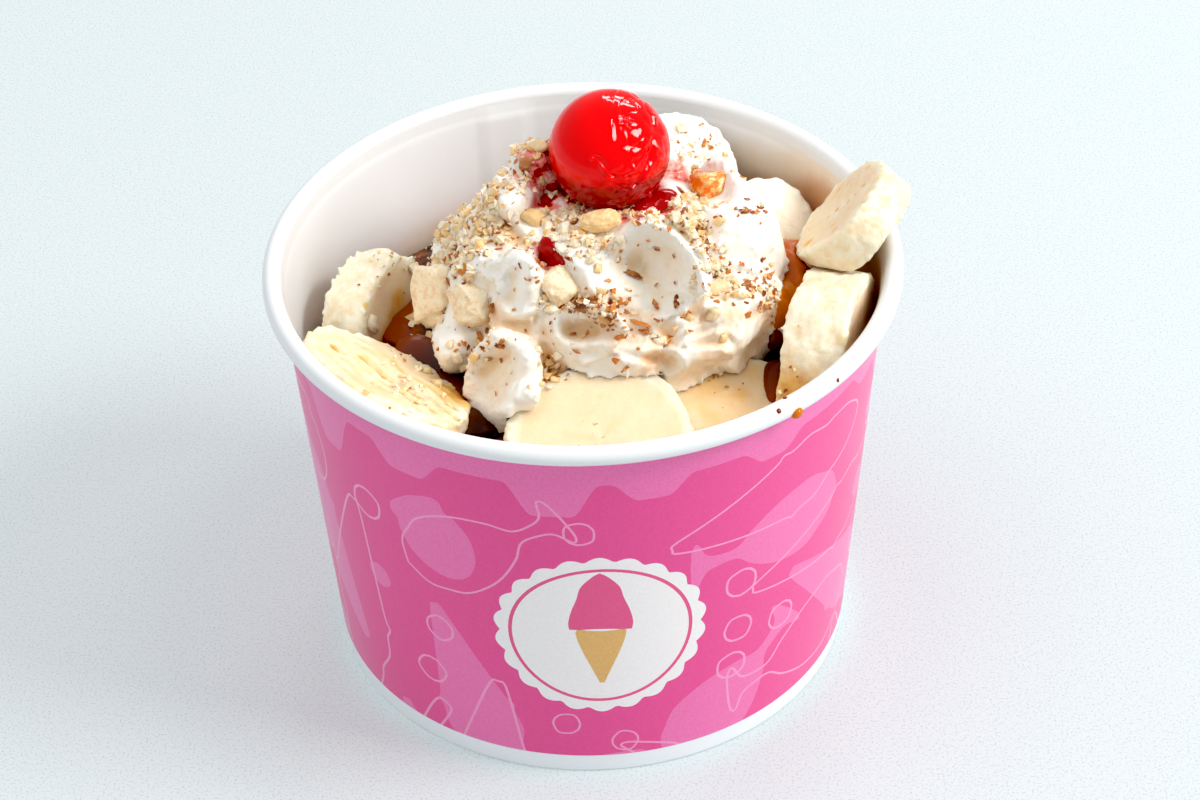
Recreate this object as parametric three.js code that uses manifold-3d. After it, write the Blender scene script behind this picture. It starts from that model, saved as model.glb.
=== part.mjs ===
// A banana split served in a round paper cup: banana slices standing and lying round the edge, a filling
// under caramel sauce, a folded heap of whipped cream with chopped nuts, and a cherry on top.
// Millimetres, +Z up. The origin is the centre of the cup's foot, on the table.

import * as THREE from 'three';
import { mergeVertices } from 'three/addons/utils/BufferGeometryUtils.js';
import Module from 'manifold-3d';

const wasm = await Module();
wasm.setup();

// ---------------------------------------------------------------- driving dimensions

const CUP_HEIGHT = 83;
const RIM_RADIUS = 58;              // outside of the rolled rim
const ROLL_RADIUS = 1.75;           // the rim's roll, seen in section
const FOOT_RADIUS = 48.5;           // outside of the wall where it meets the table
const NECK_RADIUS = 54.9;           // outside of the wall just under the rim
const PAPER = 0.8;                  // wall and base thickness
const BASE_HEIGHT = 6;              // underside of the base above the table
const FOOT_FOLD = 2.4;              // how thick the foot is, where the wall is folded up inside itself
const SEAM = { angle: 105, width: 9, step: 0.45 };   // degrees, mm: where the wall overlaps itself

const GAP = 0.3;                    // clearance between neighbours that touch
const CUP_SIDES = 56;
const FILL_SIDES = 32;
const SLICE_SIDES = 22;
const HEAP_SIDES = 28;

const FILL_CENTRE = 66;             // height of the sauce in the middle
const FILL_EDGE = 56;               // and where it meets the wall

const CHERRY = { radius: 11, at: [5.4, 8, 99.7] };

const DEGREE = Math.PI / 180;

// ---------------------------------------------------------------- helpers

// The same draws every time: a small linear congruential generator.
function seededRandom(seed) {
    let state = seed;
    return () => {
        state = (state * 1664525 + 1013904223) % 4294967296;
        return state / 4294967296;
    };
}

// Turns local +Z to the direction given by azimuth and elevation, after a spin about local +Z. Degrees.
function aim([azimuth, elevation], spin = 0) {
    const turn = new THREE.Matrix4().makeRotationZ(azimuth * DEGREE);
    turn.multiply(new THREE.Matrix4().makeRotationY((90 - elevation) * DEGREE));
    return turn.multiply(new THREE.Matrix4().makeRotationZ(spin * DEGREE));
}

function placed(geometry, at, look = [0, 90], spin = 0) {
    return geometry.applyMatrix4(aim(look, spin)).translate(...at);
}

// Moves every vertex by a rule, which changes the Vector3 that it is given.
function reshape(geometry, rule) {
    const position = geometry.attributes.position;
    const point = new THREE.Vector3();
    for (let i = 0; i < position.count; i++) {
        rule(point.fromBufferAttribute(position, i));
        position.setXYZ(i, point.x, point.y, point.z);
    }
    return geometry;
}

// One closed shell with shared vertices, no empty triangles and its faces pointing out.
function solid(geometry) {
    geometry.deleteAttribute('normal');
    geometry.deleteAttribute('uv');
    const welded = mergeVertices(geometry, 1e-4);
    const index = welded.index.array;
    const point = welded.attributes.position.array;
    const triangles = [];
    let volume = 0;
    for (let i = 0; i < index.length; i += 3) {
        const [a, b, c] = [index[i], index[i + 1], index[i + 2]];
        if (a === b || b === c || c === a) continue;
        triangles.push(a, b, c);
        const [p, q, r] = [a, b, c].map((k) => new THREE.Vector3().fromArray(point, 3 * k));
        volume += p.dot(q.cross(r));
    }
    if (volume < 0) triangles.reverse();
    return new wasm.Manifold(new wasm.Mesh({
        numProp: 3,
        vertProperties: Float32Array.from(point),
        triVerts: Uint32Array.from(triangles),
    }));
}

function joined(solids) {
    return solids.reduce((whole, piece) => whole.add(piece));
}

function cut(whole, tools) {
    return tools.reduce((rest, tool) => rest.subtract(tool), whole);
}

// Drops the loose scraps that a cut can leave.
function largestPiece(whole) {
    return whole.decompose().reduce((best, piece) => (piece.volume() > best.volume() ? piece : best));
}

function meshOf(name, whole, material) {
    const source = whole.getMesh();
    const geometry = new THREE.BufferGeometry();
    const points = new Float32Array(source.vertProperties);
    geometry.setAttribute('position', new THREE.BufferAttribute(points, 3));
    geometry.setIndex(new THREE.BufferAttribute(new Uint32Array(source.triVerts), 1));
    geometry.computeVertexNormals();
    const mesh = new THREE.Mesh(geometry, material);
    mesh.name = name;
    return mesh;
}

// A body turned round the cup's axis. Each outline point is [radius, height].
function turned(outline, sides = CUP_SIDES) {
    const profile = outline.map(([radius, height]) => new THREE.Vector2(radius, height));
    return new THREE.LatheGeometry(profile, sides).rotateX(Math.PI / 2);
}

// ---------------------------------------------------------------- paper cup

function wallOuter(height) {
    return FOOT_RADIUS + (NECK_RADIUS - FOOT_RADIUS) * height / (CUP_HEIGHT - ROLL_RADIUS);
}

function wallInner(height) {
    return wallOuter(height) - PAPER;
}

// The sidewall: a cone rolled outward at the rim, and folded up inside itself at the foot, under the base.
function cupWallOutline(gap = 0) {
    const rollCentre = [RIM_RADIUS - ROLL_RADIUS, CUP_HEIGHT - ROLL_RADIUS];
    const rollStart = 220;
    const rollEnd = 540;
    const rollSteps = 7;
    const outline = [[FOOT_RADIUS, 0]];
    for (let i = 0; i <= rollSteps; i++) {
        const angle = (rollStart + (rollEnd - rollStart) * i / rollSteps) * DEGREE;
        outline.push([
            rollCentre[0] + (ROLL_RADIUS + gap) * Math.cos(angle),
            rollCentre[1] + (ROLL_RADIUS + gap) * Math.sin(angle),
        ]);
    }
    const wallTop = CUP_HEIGHT - 3 * ROLL_RADIUS;
    const foldTop = BASE_HEIGHT - GAP;
    outline.push([wallInner(wallTop) - gap, wallTop]);
    outline.push([wallInner(foldTop) - gap, foldTop]);
    outline.push([wallOuter(foldTop) - FOOT_FOLD, foldTop]);
    outline.push([FOOT_RADIUS - FOOT_FOLD, 0]);
    outline.push([FOOT_RADIUS, 0]);
    return outline;
}

// Inside, above the base, the overlapping end of the wall stands proud by a paper's thickness.
function addSeam(point) {
    const angle = Math.atan2(point.y, point.x) / DEGREE;
    const radius = Math.hypot(point.x, point.y);
    const halfAngle = SEAM.width / 2 / radius / DEGREE;
    const inside = radius < wallInner(point.z) + PAPER / 2 && point.z > BASE_HEIGHT + 3 * PAPER;
    if (inside && Math.abs(angle - SEAM.angle) < halfAngle) {
        point.multiply(new THREE.Vector3(1 - SEAM.step / radius, 1 - SEAM.step / radius, 1));
    }
}

function cupWall() {
    return solid(reshape(turned(cupWallOutline()), addSeam));
}

// The base: a disc that lies on the fold, clear of the table.
function cupBase() {
    const top = BASE_HEIGHT + PAPER;
    return solid(turned([
        [0, BASE_HEIGHT],
        [wallInner(BASE_HEIGHT) - GAP, BASE_HEIGHT],
        [wallInner(top) - GAP, top],
        [0, top],
    ]));
}

// ---------------------------------------------------------------- banana

// Slices of one peeled banana. 'look' is the way the upper cut face points, as azimuth and elevation.
// 'stretch' is how much longer an obliquely cut slice is along its own x, which 'spin' turns.
const SLICES = {
    banana_slice_front: { radius: 16.6, thickness: 9, at: [2.2, -34.6, 64.2], look: [-90, 72], spin: 20 },
    banana_slice_right: { radius: 16, thickness: 11.5, at: [44, -13, 66.5], look: [-18, 3], spin: 0 },
    banana_slice_left: { radius: 12.8, thickness: 9, at: [-37, -21.5, 68.5], look: [39, 62], spin: 90, stretch: 1.42 },
    banana_slice_rim: { radius: 11.2, thickness: 8, at: [49.3, 5, 84.5], look: [165, 42], spin: 0 },
    banana_slice_back: { radius: 12.5, thickness: 8, at: [17, 33, 76], look: [-70, 62], spin: 0 },
    banana_slice_left_back: { radius: 12.8, thickness: 9, at: [-39.2, 11.5, 60], look: [-26, 8], spin: 10 },
    banana_slice_right_inner: { radius: 14, thickness: 8, at: [38.6, 4.5, 63.5], look: [-14, 6], spin: 40 },
    banana_slice_back_right: { radius: 11, thickness: 8, at: [33.5, 23, 68.5], look: [-60, 50], spin: 0 },
    banana_slice_front_right: { radius: 14, thickness: 8, at: [27, -26, 61.5], look: [-75, 76], spin: 80 },
};

// A slice: three faint lobes in its outline, a sidewall that swells, softened cut edges.
function bananaSlice({ radius, thickness, at, look, spin, stretch = 1 }, gap = 0) {
    const swell = 0.35;
    const softening = 0.9;
    const half = thickness / 2 + gap;
    const outer = radius + gap;
    const outline = [
        [0, -half],
        [outer - softening, -half],
        [outer, -half + softening],
        [outer + swell, 0],
        [outer, half - softening],
        [outer - softening, half],
        [0, half],
    ];
    const threeLobes = (point) => {
        const angle = Math.atan2(point.y, point.x);
        const factor = 1 + 0.022 * Math.cos(3 * angle) + 0.012 * Math.cos(5 * angle + 1);
        point.x *= factor * stretch;
        point.y *= factor;
    };
    return solid(placed(reshape(turned(outline, SLICE_SIDES), threeLobes), at, look, spin));
}

// ---------------------------------------------------------------- filling

// What fills the cup, up to the sauce that shows between the slices and the cream.
function filling() {
    const bottom = BASE_HEIGHT + PAPER + GAP;
    const edgeTop = wallInner(FILL_EDGE) - SEAM.step - GAP;
    const outline = [[0, bottom], [wallInner(bottom) - SEAM.step - GAP, bottom], [edgeTop, FILL_EDGE]];
    const rings = 4;
    for (let i = rings - 1; i >= 0; i--) {
        const share = i / rings;
        outline.push([edgeTop * share, FILL_EDGE + (FILL_CENTRE - FILL_EDGE) * (1 - share ** 2)]);
    }
    const ripple = (point) => {
        if (point.z > FILL_EDGE + 1) {
            point.z += 0.5 * Math.sin(0.21 * point.x + 1) * Math.cos(0.17 * point.y);
        }
    };
    return solid(reshape(turned(outline, FILL_SIDES), ripple));
}

// ---------------------------------------------------------------- whipped cream

const HEAP = {
    centre: [5, 6.5],
    stretch: [1.06, 0.96],
    outline: [[0, 57], [30, 57], [31.5, 68], [30.5, 74], [27, 81], [21, 87], [14, 90.6], [7, 91.6], [0, 91.8]],
};

// Folds of cream. 'look' is the way the open side of a fold points. 'bend' is how far the ends and the
// sides of a fold lift towards it: above zero for a hollow petal, below zero for a rounded lobe.
const FOLDS = [
    { at: [14.5, -12, 88], size: [20, 19, 4], look: [-118, 28], spin: 130, bend: [4, 3] },
    { at: [29, 2, 84], size: [19, 17, 12], look: [-50, 45], spin: 20, bend: [-2, -1] },
    { at: [27, 10, 88], size: [15, 9, 9], look: [-60, 60], spin: 0, bend: [-1, -1] },
    { at: [31, -8, 75], size: [19, 15, 8], look: [-40, 20], spin: 0, bend: [-2, -1] },
    { at: [19, -17, 78], size: [7, 24, 6], look: [-85, 35], spin: 20, bend: [0, -3] },
    { at: [20, -18.5, 74], size: [6, 26, 6], look: [-80, 30], spin: 12, bend: [0, -3] },
    { at: [1, -19, 80.5], size: [10, 15, 4], look: [-112, 15], spin: 15, bend: [3, 2] },
    { at: [-13.5, -21, 71], size: [19, 15, 4.5], look: [-125, 24], spin: -12, bend: [2, 3] },
    { at: [-23.5, -9, 71], size: [15, 10, 8], look: [-150, 20], spin: 0, bend: [-2, -1] },
    { at: [-9.5, -16, 78], size: [18, 13, 5], look: [-105, 30], spin: 30, bend: [1, 2] },
    { at: [-11.5, -11, 85], size: [12, 11, 7], look: [-130, 38], spin: 0, bend: [-1, -1] },
    { at: [-13, 6, 90.5], size: [13, 10, 9], look: [180, 50], spin: 0, bend: [-1, 0] },
    { at: [-7.5, 12, 93.5], size: [11, 9, 10], look: [150, 60], spin: 0, bend: [-1, 0] },
    { at: [-17.5, 4, 85], size: [13, 11, 9], look: [170, 40], spin: 0, bend: [-2, -1] },
    { at: [-19, -3, 81], size: [16, 13, 9], look: [-160, 30], spin: 0, bend: [-2, -1] },
    { at: [-22, 8, 78], size: [17, 15, 10], look: [170, 30], spin: 0, bend: [-2, -1] },
    { at: [-10, 24, 80], size: [19, 17, 10], look: [120, 30], spin: 0, bend: [-2, -1] },
    { at: [6, 31, 80], size: [18, 19, 10], look: [90, 30], spin: 0, bend: [-2, -1] },
    { at: [24, 24, 80], size: [18, 17, 10], look: [50, 30], spin: 0, bend: [-2, -1] },
    { at: [7, -21, 75], size: [9, 20, 7], look: [-90, 25], spin: 0, bend: [-1, -2] },
    { at: [0, -11, 87.5], size: [14, 11, 6], look: [-100, 45], spin: 60, bend: [-1, -1] },
    { at: [16, 20, 88], size: [15, 13, 9], look: [70, 50], spin: 0, bend: [-1, -1] },
];

// One fold: a flattened ball, bent both ways.
function creamFold({ at, size, look, spin, bend }) {
    const [length, width, depth] = size.map((whole) => whole / 2);
    const shape = new THREE.SphereGeometry(1, 11, 7).rotateX(Math.PI / 2);
    const curl = (point) => {
        const lift = bend[0] * point.x ** 2 + bend[1] * point.y ** 2;
        point.set(point.x * length, point.y * width, point.z * depth + lift);
    };
    return solid(placed(reshape(shape, curl), at, look, spin));
}

function heapCore() {
    const shape = turned(HEAP.outline, HEAP_SIDES);
    return solid(shape.scale(...HEAP.stretch, 1).translate(...HEAP.centre, 0));
}

// ---------------------------------------------------------------- nuts

// Chopped pieces large enough to count as toppings of their own.
const CHUNKS = {
    nut_chunk_square: { at: [-20.5, -10, 79.5], size: [8.5, 8, 6.5], look: [-120, 30], spin: 20 },
    nut_chunk_middle: { at: [-4.2, -14.2, 86.2], size: [7, 6.5, 5], look: [-100, 40], spin: 40 },
    nut_slab: { at: [-28, -3, 76.5], size: [12, 8, 3.6], look: [-130, 30], spin: 15 },
    nut_glazed: { at: [23.2, 8.8, 90.6], size: [7.5, 6.5, 5], look: [-80, 50], spin: 70 },
    nut_whole: { at: [3.2, -4.6, 93], size: [4.2, 7.8, 3.8], look: [-90, 45], spin: 8 },
};

// A broken piece: a many-sided ball with its corners pushed in and out.
function chunk({ at, size, look, spin }, seed, gap = 0) {
    const random = seededRandom(seed);
    const shape = mergeVertices(new THREE.IcosahedronGeometry(1, 1).deleteAttribute('normal').deleteAttribute('uv'));
    const half = size.map((whole) => whole / 2 + gap);
    const broken = (point) => {
        point.setLength(0.88 + 0.24 * random());
        point.set(point.x * half[0], point.y * half[1], point.z * half[2]);
    };
    return solid(placed(reshape(shape, broken), at, look, spin));
}

// Where the small pieces lie thickest: a centre, how far they spread, and how many there are.
const NUT_DRIFTS = [
    { centre: [5, -3], spread: [9, 4], count: 12 },
    { centre: [-16, 0], spread: [7, 8], count: 13 },
    { centre: [-6, -14], spread: [6, 5], count: 7 },
    { centre: [22, -4], spread: [7, 8], count: 10 },
    { centre: [6, 22], spread: [12, 7], count: 6 },
];
const NUT_SIZES = [2.2, 4.2];       // smallest and largest across

// A unit box of eight shared corners, to be knocked out of square.
function boxCorners() {
    return mergeVertices(new THREE.BoxGeometry(1, 1, 1).deleteAttribute('normal').deleteAttribute('uv'));
}

// Chopped nuts fused to the cream: each is dropped on it and sinks in by about a third.
function withNuts(cream) {
    const random = seededRandom(7);
    const spreadDraw = () => random() + random() + random() - 1.5;
    const surface = meshOf('surface', cream, CREAM_LOOK);
    const down = new THREE.Vector3(0, 0, -1);
    const pieces = [];
    for (const { centre, spread, count } of NUT_DRIFTS) {
        for (let i = 0; i < count; i++) {
            const start = new THREE.Vector3(
                centre[0] + spread[0] * spreadDraw(),
                centre[1] + spread[1] * spreadDraw(),
                2 * CUP_HEIGHT,
            );
            const [hit] = new THREE.Raycaster(start, down).intersectObject(surface);
            if (!hit) continue;
            const across = NUT_SIZES[0] + (NUT_SIZES[1] - NUT_SIZES[0]) * random() ** 2;
            const size = [across * (1 + 0.5 * random()), across, across * (0.6 + 0.3 * random())];
            const steepness = Math.asin(hit.face.normal.z) / DEGREE;
            const heading = Math.atan2(hit.face.normal.y, hit.face.normal.x) / DEGREE;
            const nut = reshape(boxCorners(), (point) => {
                point.multiplyScalar(0.75 + 0.4 * random());
                point.set(point.x * size[0], point.y * size[1], point.z * size[2]);
            });
            const at = hit.point.addScaledVector(hit.face.normal, size[2] / 6);
            pieces.push(solid(placed(nut, at.toArray(), [heading, steepness], 360 * random())));
        }
    }
    return joined([cream, ...pieces]);
}

// ---------------------------------------------------------------- cherry

// A candied cherry: nearly round, a little flattened, with a dimple where its stalk was.
function cherry(gap = 0) {
    const shape = new THREE.SphereGeometry(CHERRY.radius + gap, 20, 14);
    const dimple = (point) => {
        const fromStalk = Math.acos(point.y / point.length());
        point.multiplyScalar(1 - 0.05 * Math.exp(-((fromStalk / 0.35) ** 2)));
    };
    return solid(placed(reshape(shape, dimple), CHERRY.at, [60, 70], 0));
}

// ---------------------------------------------------------------- assembly

function matte(colour, roughness) {
    return new THREE.MeshStandardMaterial({ color: colour, roughness, metalness: 0 });
}

const PAPER_LOOK = matte(0xf2f0ec, 0.55);
const BANANA_LOOK = matte(0xf3e3b0, 0.5);
const SAUCE_LOOK = matte(0x8a4410, 0.2);
const CREAM_LOOK = matte(0xf8f4ee, 0.6);
const CHERRY_LOOK = matte(0xc8060c, 0.12);
const NUT_LOOK = matte(0xe2c27c, 0.6);

const group = new THREE.Group();

const wallClearance = solid(turned(cupWallOutline(GAP + SEAM.step)));
const sliceNames = Object.keys(SLICES);
const sliceClearances = sliceNames.map((name) => bananaSlice(SLICES[name], GAP));
const slices = sliceNames.map((name, i) => {
    const whole = bananaSlice(SLICES[name]);
    return largestPiece(cut(whole, [wallClearance, ...sliceClearances.slice(0, i)]));
});
const chunkNames = Object.keys(CHUNKS);
const chunks = chunkNames.map((name, i) => largestPiece(cut(chunk(CHUNKS[name], i + 1), sliceClearances)));
const chunkClearances = chunkNames.map((name, i) => chunk(CHUNKS[name], i + 1, GAP));

const fill = largestPiece(cut(filling(), sliceClearances));
const heap = withNuts(joined([heapCore(), ...FOLDS.map(creamFold)]));
const fillClearance = filling().translate([0, 0, GAP]);
const cream = largestPiece(cut(heap, [...sliceClearances, ...chunkClearances, cherry(GAP), fillClearance]));

group.add(meshOf('cup_wall', cupWall(), PAPER_LOOK));
group.add(meshOf('cup_base', cupBase(), PAPER_LOOK));
group.add(meshOf('caramel_filling', fill, SAUCE_LOOK));
group.add(meshOf('whipped_cream', cream, CREAM_LOOK));
group.add(meshOf('cherry', cherry(), CHERRY_LOOK));
sliceNames.forEach((name, i) => group.add(meshOf(name, slices[i], BANANA_LOOK)));
chunkNames.forEach((name, i) => group.add(meshOf(name, chunks[i], NUT_LOOK)));

export default group;
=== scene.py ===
"""Looks of a banana split in a round paper cup.

Shapes are worked out in millimetres, in the frame of the CAD model: the cup's axis is Z, its foot stands at
zero and the viewer looks along +Y. They become metres when a mesh is made.
"""

import math
from collections import namedtuple

import bmesh
import bpy
import numpy as np
from mathutils import Euler, Matrix, Vector
from mathutils.bvhtree import BVHTree
from mathutils.geometry import delaunay_2d_cdt


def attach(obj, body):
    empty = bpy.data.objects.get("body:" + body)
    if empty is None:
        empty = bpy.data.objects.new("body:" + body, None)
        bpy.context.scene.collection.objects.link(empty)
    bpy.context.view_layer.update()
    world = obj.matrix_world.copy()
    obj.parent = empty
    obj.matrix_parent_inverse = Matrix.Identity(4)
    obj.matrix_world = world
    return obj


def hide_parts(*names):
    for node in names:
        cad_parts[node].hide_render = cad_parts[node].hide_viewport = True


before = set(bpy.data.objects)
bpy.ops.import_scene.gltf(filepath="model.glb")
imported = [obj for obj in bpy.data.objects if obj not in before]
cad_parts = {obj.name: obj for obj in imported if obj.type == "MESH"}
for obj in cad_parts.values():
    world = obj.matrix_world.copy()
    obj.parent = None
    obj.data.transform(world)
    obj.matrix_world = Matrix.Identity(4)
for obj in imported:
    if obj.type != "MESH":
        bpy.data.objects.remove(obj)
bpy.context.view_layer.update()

MM = 0.001

# ------------------------------------------------------------------ driving dimensions, as in the CAD model

CUP_HEIGHT = 83
RIM_RADIUS = 58
ROLL_RADIUS = 1.75
FOOT_RADIUS = 48.5
NECK_RADIUS = 54.9
PAPER = 0.8
BASE_HEIGHT = 6
FOOT_FOLD = 2.4
SEAM_ANGLE = 105
SEAM_WIDTH = 9
SEAM_STEP = 0.45
GAP = 0.3

FILL_CENTRE = 66
FILL_EDGE = 56

CHERRY_RADIUS = 11
CHERRY_AT = (5.4, 8, 99.7)

# A slice is at its centre, and its upper cut face looks toward an azimuth and an elevation
Slice = namedtuple("Slice", "radius thickness at look spin stretch")
SLICES = {name: Slice(*row) for name, row in {
    "banana_slice_front": (16.6, 9, (2.2, -34.6, 64.2), (-90, 72), 20, 1),
    "banana_slice_right": (16, 11.5, (44, -13, 66.5), (-18, 3), 0, 1),
    "banana_slice_left": (12.8, 9, (-37, -21.5, 68.5), (39, 62), 90, 1.42),
    "banana_slice_rim": (11.2, 8, (49.3, 5, 84.5), (165, 42), 0, 1),
    "banana_slice_back": (12.5, 8, (17, 33, 76), (-70, 62), 0, 1),
    "banana_slice_left_back": (12.8, 9, (-39.2, 11.5, 60), (-26, 8), 10, 1),
    "banana_slice_right_inner": (14, 8, (38.6, 4.5, 63.5), (-14, 6), 40, 1),
    "banana_slice_back_right": (11, 8, (33.5, 23, 68.5), (-60, 50), 0, 1),
    "banana_slice_front_right": (14, 8, (27, -26, 61.5), (-75, 76), 80, 1),
}.items()}

HEAP_CENTRE = (5, 6.5)
HEAP_STRETCH = (1.06, 0.96)
HEAP_OUTLINE = [(57, 30), (68, 31.5), (74, 30.5), (81, 27), (87, 21), (90.6, 14), (91.6, 7), (91.8, 0)]

# A fold's open side looks toward an azimuth and an elevation, and its ends and sides bend that way
Fold = namedtuple("Fold", "at size look spin bend")
FOLDS = [Fold(*row) for row in [
    ((14.5, -12, 88), (20, 19, 4), (-118, 28), 130, (4, 3)),
    ((29, 2, 84), (19, 17, 12), (-50, 45), 20, (-2, -1)),
    ((27, 10, 88), (15, 9, 9), (-60, 60), 0, (-1, -1)),
    ((31, -8, 75), (19, 15, 8), (-40, 20), 0, (-2, -1)),
    ((19, -17, 78), (7, 24, 6), (-85, 35), 20, (0, -3)),
    ((20, -18.5, 74), (6, 26, 6), (-80, 30), 12, (0, -3)),
    ((1, -19, 80.5), (10, 15, 4), (-112, 15), 15, (3, 2)),
    ((-13.5, -21, 71), (19, 15, 4.5), (-125, 24), -12, (2, 3)),
    ((-23.5, -9, 71), (15, 10, 8), (-150, 20), 0, (-2, -1)),
    ((-9.5, -16, 78), (18, 13, 5), (-105, 30), 30, (1, 2)),
    ((-11.5, -11, 85), (12, 11, 7), (-130, 38), 0, (-1, -1)),
    ((-13, 6, 90.5), (13, 10, 9), (180, 50), 0, (-1, 0)),
    ((-7.5, 12, 93.5), (11, 9, 10), (150, 60), 0, (-1, 0)),
    ((-17.5, 4, 85), (13, 11, 9), (170, 40), 0, (-2, -1)),
    ((-19, -3, 81), (16, 13, 9), (-160, 30), 0, (-2, -1)),
    ((-22, 8, 78), (17, 15, 10), (170, 30), 0, (-2, -1)),
    ((-10, 24, 80), (19, 17, 10), (120, 30), 0, (-2, -1)),
    ((6, 31, 80), (18, 19, 10), (90, 30), 0, (-2, -1)),
    ((24, 24, 80), (18, 17, 10), (50, 30), 0, (-2, -1)),
    ((7, -21, 75), (9, 20, 7), (-90, 25), 0, (-1, -2)),
    ((0, -11, 87.5), (14, 11, 6), (-100, 45), 60, (-1, -1)),
    ((16, 20, 88), (15, 13, 9), (70, 50), 0, (-1, -1)),
]]

# The single large pieces of nut: centre, size, look, spin
CHUNKS = {
    "nut_chunk_square": ((-20.5, -10, 79.5), (8.5, 8, 6.5), (-120, 30), 20),
    "nut_chunk_middle": ((-4.2, -14.2, 86.2), (7, 6.5, 5), (-100, 40), 40),
    "nut_slab": ((-28, -3, 76.5), (12, 8, 3.6), (-130, 30), 15),
    "nut_glazed": ((23.2, 8.8, 90.6), (7.5, 6.5, 5), (-80, 50), 70),
    "nut_whole": ((3.2, -4.6, 93), (4.2, 7.8, 3.8), (-90, 45), 8),
}


# ------------------------------------------------------------------ camera and light

CAMERA_AT = (0, -490.75, 433.6)
CAMERA_AIM = (2.5, 11.45, 40)
CAMERA_ROLL = -1.56
LENS = 100
SENSOR = 36
VIEW_WIDTH = 1200
VIEW_HEIGHT = 800
PIXELS_PER_MM = 5.5                  # at the food

WINDOW_WAY = (-12, 42)               # azimuth and elevation of the main light
# Name, azimuth and elevation, distance and size in metres, watts, colour
LIGHTS = [
    ("right_window", WINDOW_WAY, 2.2, (0.85, 0.8), 33, (1, 0.975, 0.93)),
    ("overhead", (-160, 68), 2.2, (1.6, 1.6), 13, (1, 0.985, 0.96)),
    ("ceiling_strip", (4, 69), 2.0, (0.08, 0.5), 3, (1, 0.99, 0.96)),
    ("back_window", (72, 33), 2.0, (0.9, 0.2), 6, (0.97, 0.98, 1)),
]
LIGHT_AIM = (0, 0, 0.05)             # in metres
ROOM_COLOUR = (0.95, 0.98, 1, 1)
ROOM_STRENGTH = 0.55
VIEW_GAMMA = 0.9
BLACK_LEVEL = 0.018


def camera_turn():
    forward = Vector(CAMERA_AIM) - Vector(CAMERA_AT)
    return forward.to_track_quat("-Z", "Y") @ Euler((0, 0, math.radians(CAMERA_ROLL))).to_quaternion()


def sight_line(pixel):
    """The direction in which the camera sees a pixel of the 1200 by 800 view."""
    x, y = pixel
    half_width = VIEW_WIDTH / 2
    reach = SENSOR / 2 / LENS / half_width
    way = Vector(((x - half_width) * reach, (VIEW_HEIGHT / 2 - y) * reach, -1))
    return (camera_turn() @ way).normalized()


def pixels_of(points):
    """Where points show in the 1200 by 800 view, and how far they are from the camera along its axis."""
    local = (np.asarray(points) - CAMERA_AT) @ np.array(camera_turn().to_matrix())
    depth = -local[:, 2]
    scale = VIEW_WIDTH / SENSOR * LENS / depth
    x = VIEW_WIDTH / 2 + local[:, 0] * scale
    y = VIEW_HEIGHT / 2 - local[:, 1] * scale
    return np.stack([x, y], axis=1), depth


def add_camera():
    data = bpy.data.cameras.new("camera")
    data.lens = LENS
    data.sensor_width = SENSOR
    data.clip_end = 20               # in metres
    camera = bpy.data.objects.new("camera", data)
    bpy.context.scene.collection.objects.link(camera)
    camera.location = Vector(CAMERA_AT) * MM
    camera.rotation_euler = camera_turn().to_euler()
    bpy.context.scene.camera = camera


def add_area_light(name, way, away, size, power, colour):
    """A rectangular light that shines at the cup from an azimuth and an elevation, in metres and watts."""
    azimuth, elevation = (math.radians(angle) for angle in way)
    level = math.cos(elevation)
    at = Vector((level * math.cos(azimuth), level * math.sin(azimuth), math.sin(elevation))) * away
    data = bpy.data.lights.new(name, "AREA")
    data.shape = "RECTANGLE"
    data.size, data.size_y = size
    data.energy = power
    data.color = colour
    lamp = bpy.data.objects.new(name, data)
    bpy.context.scene.collection.objects.link(lamp)
    lamp.location = at
    lamp.rotation_euler = (Vector(LIGHT_AIM) - at).to_track_quat("-Z", "Y").to_euler()
    lamp.visible_glossy = name != "overhead"


def add_lights():
    for light in LIGHTS:
        add_area_light(*light)
    world = bpy.data.worlds.new("studio")
    world.use_nodes = True
    background = world.node_tree.nodes["Background"]
    background.inputs["Color"].default_value = ROOM_COLOUR
    background.inputs["Strength"].default_value = ROOM_STRENGTH
    scene = bpy.context.scene
    scene.world = world
    view = scene.view_settings
    view.view_transform = "Standard"
    view.gamma = VIEW_GAMMA
    view.use_curve_mapping = True
    view.curve_mapping.black_level = (BLACK_LEVEL,) * 3
    view.curve_mapping.update()


# ------------------------------------------------------------------ material helpers


def srgb(red, green, blue):
    """A colour as the eye names it, 0 to 255, turned to the linear values that Blender takes."""
    values = [c / 255 for c in (red, green, blue)]
    return tuple(v / 12.92 if v < 0.04045 else ((v + 0.055) / 1.055) ** 2.4 for v in values) + (1,)


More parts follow.
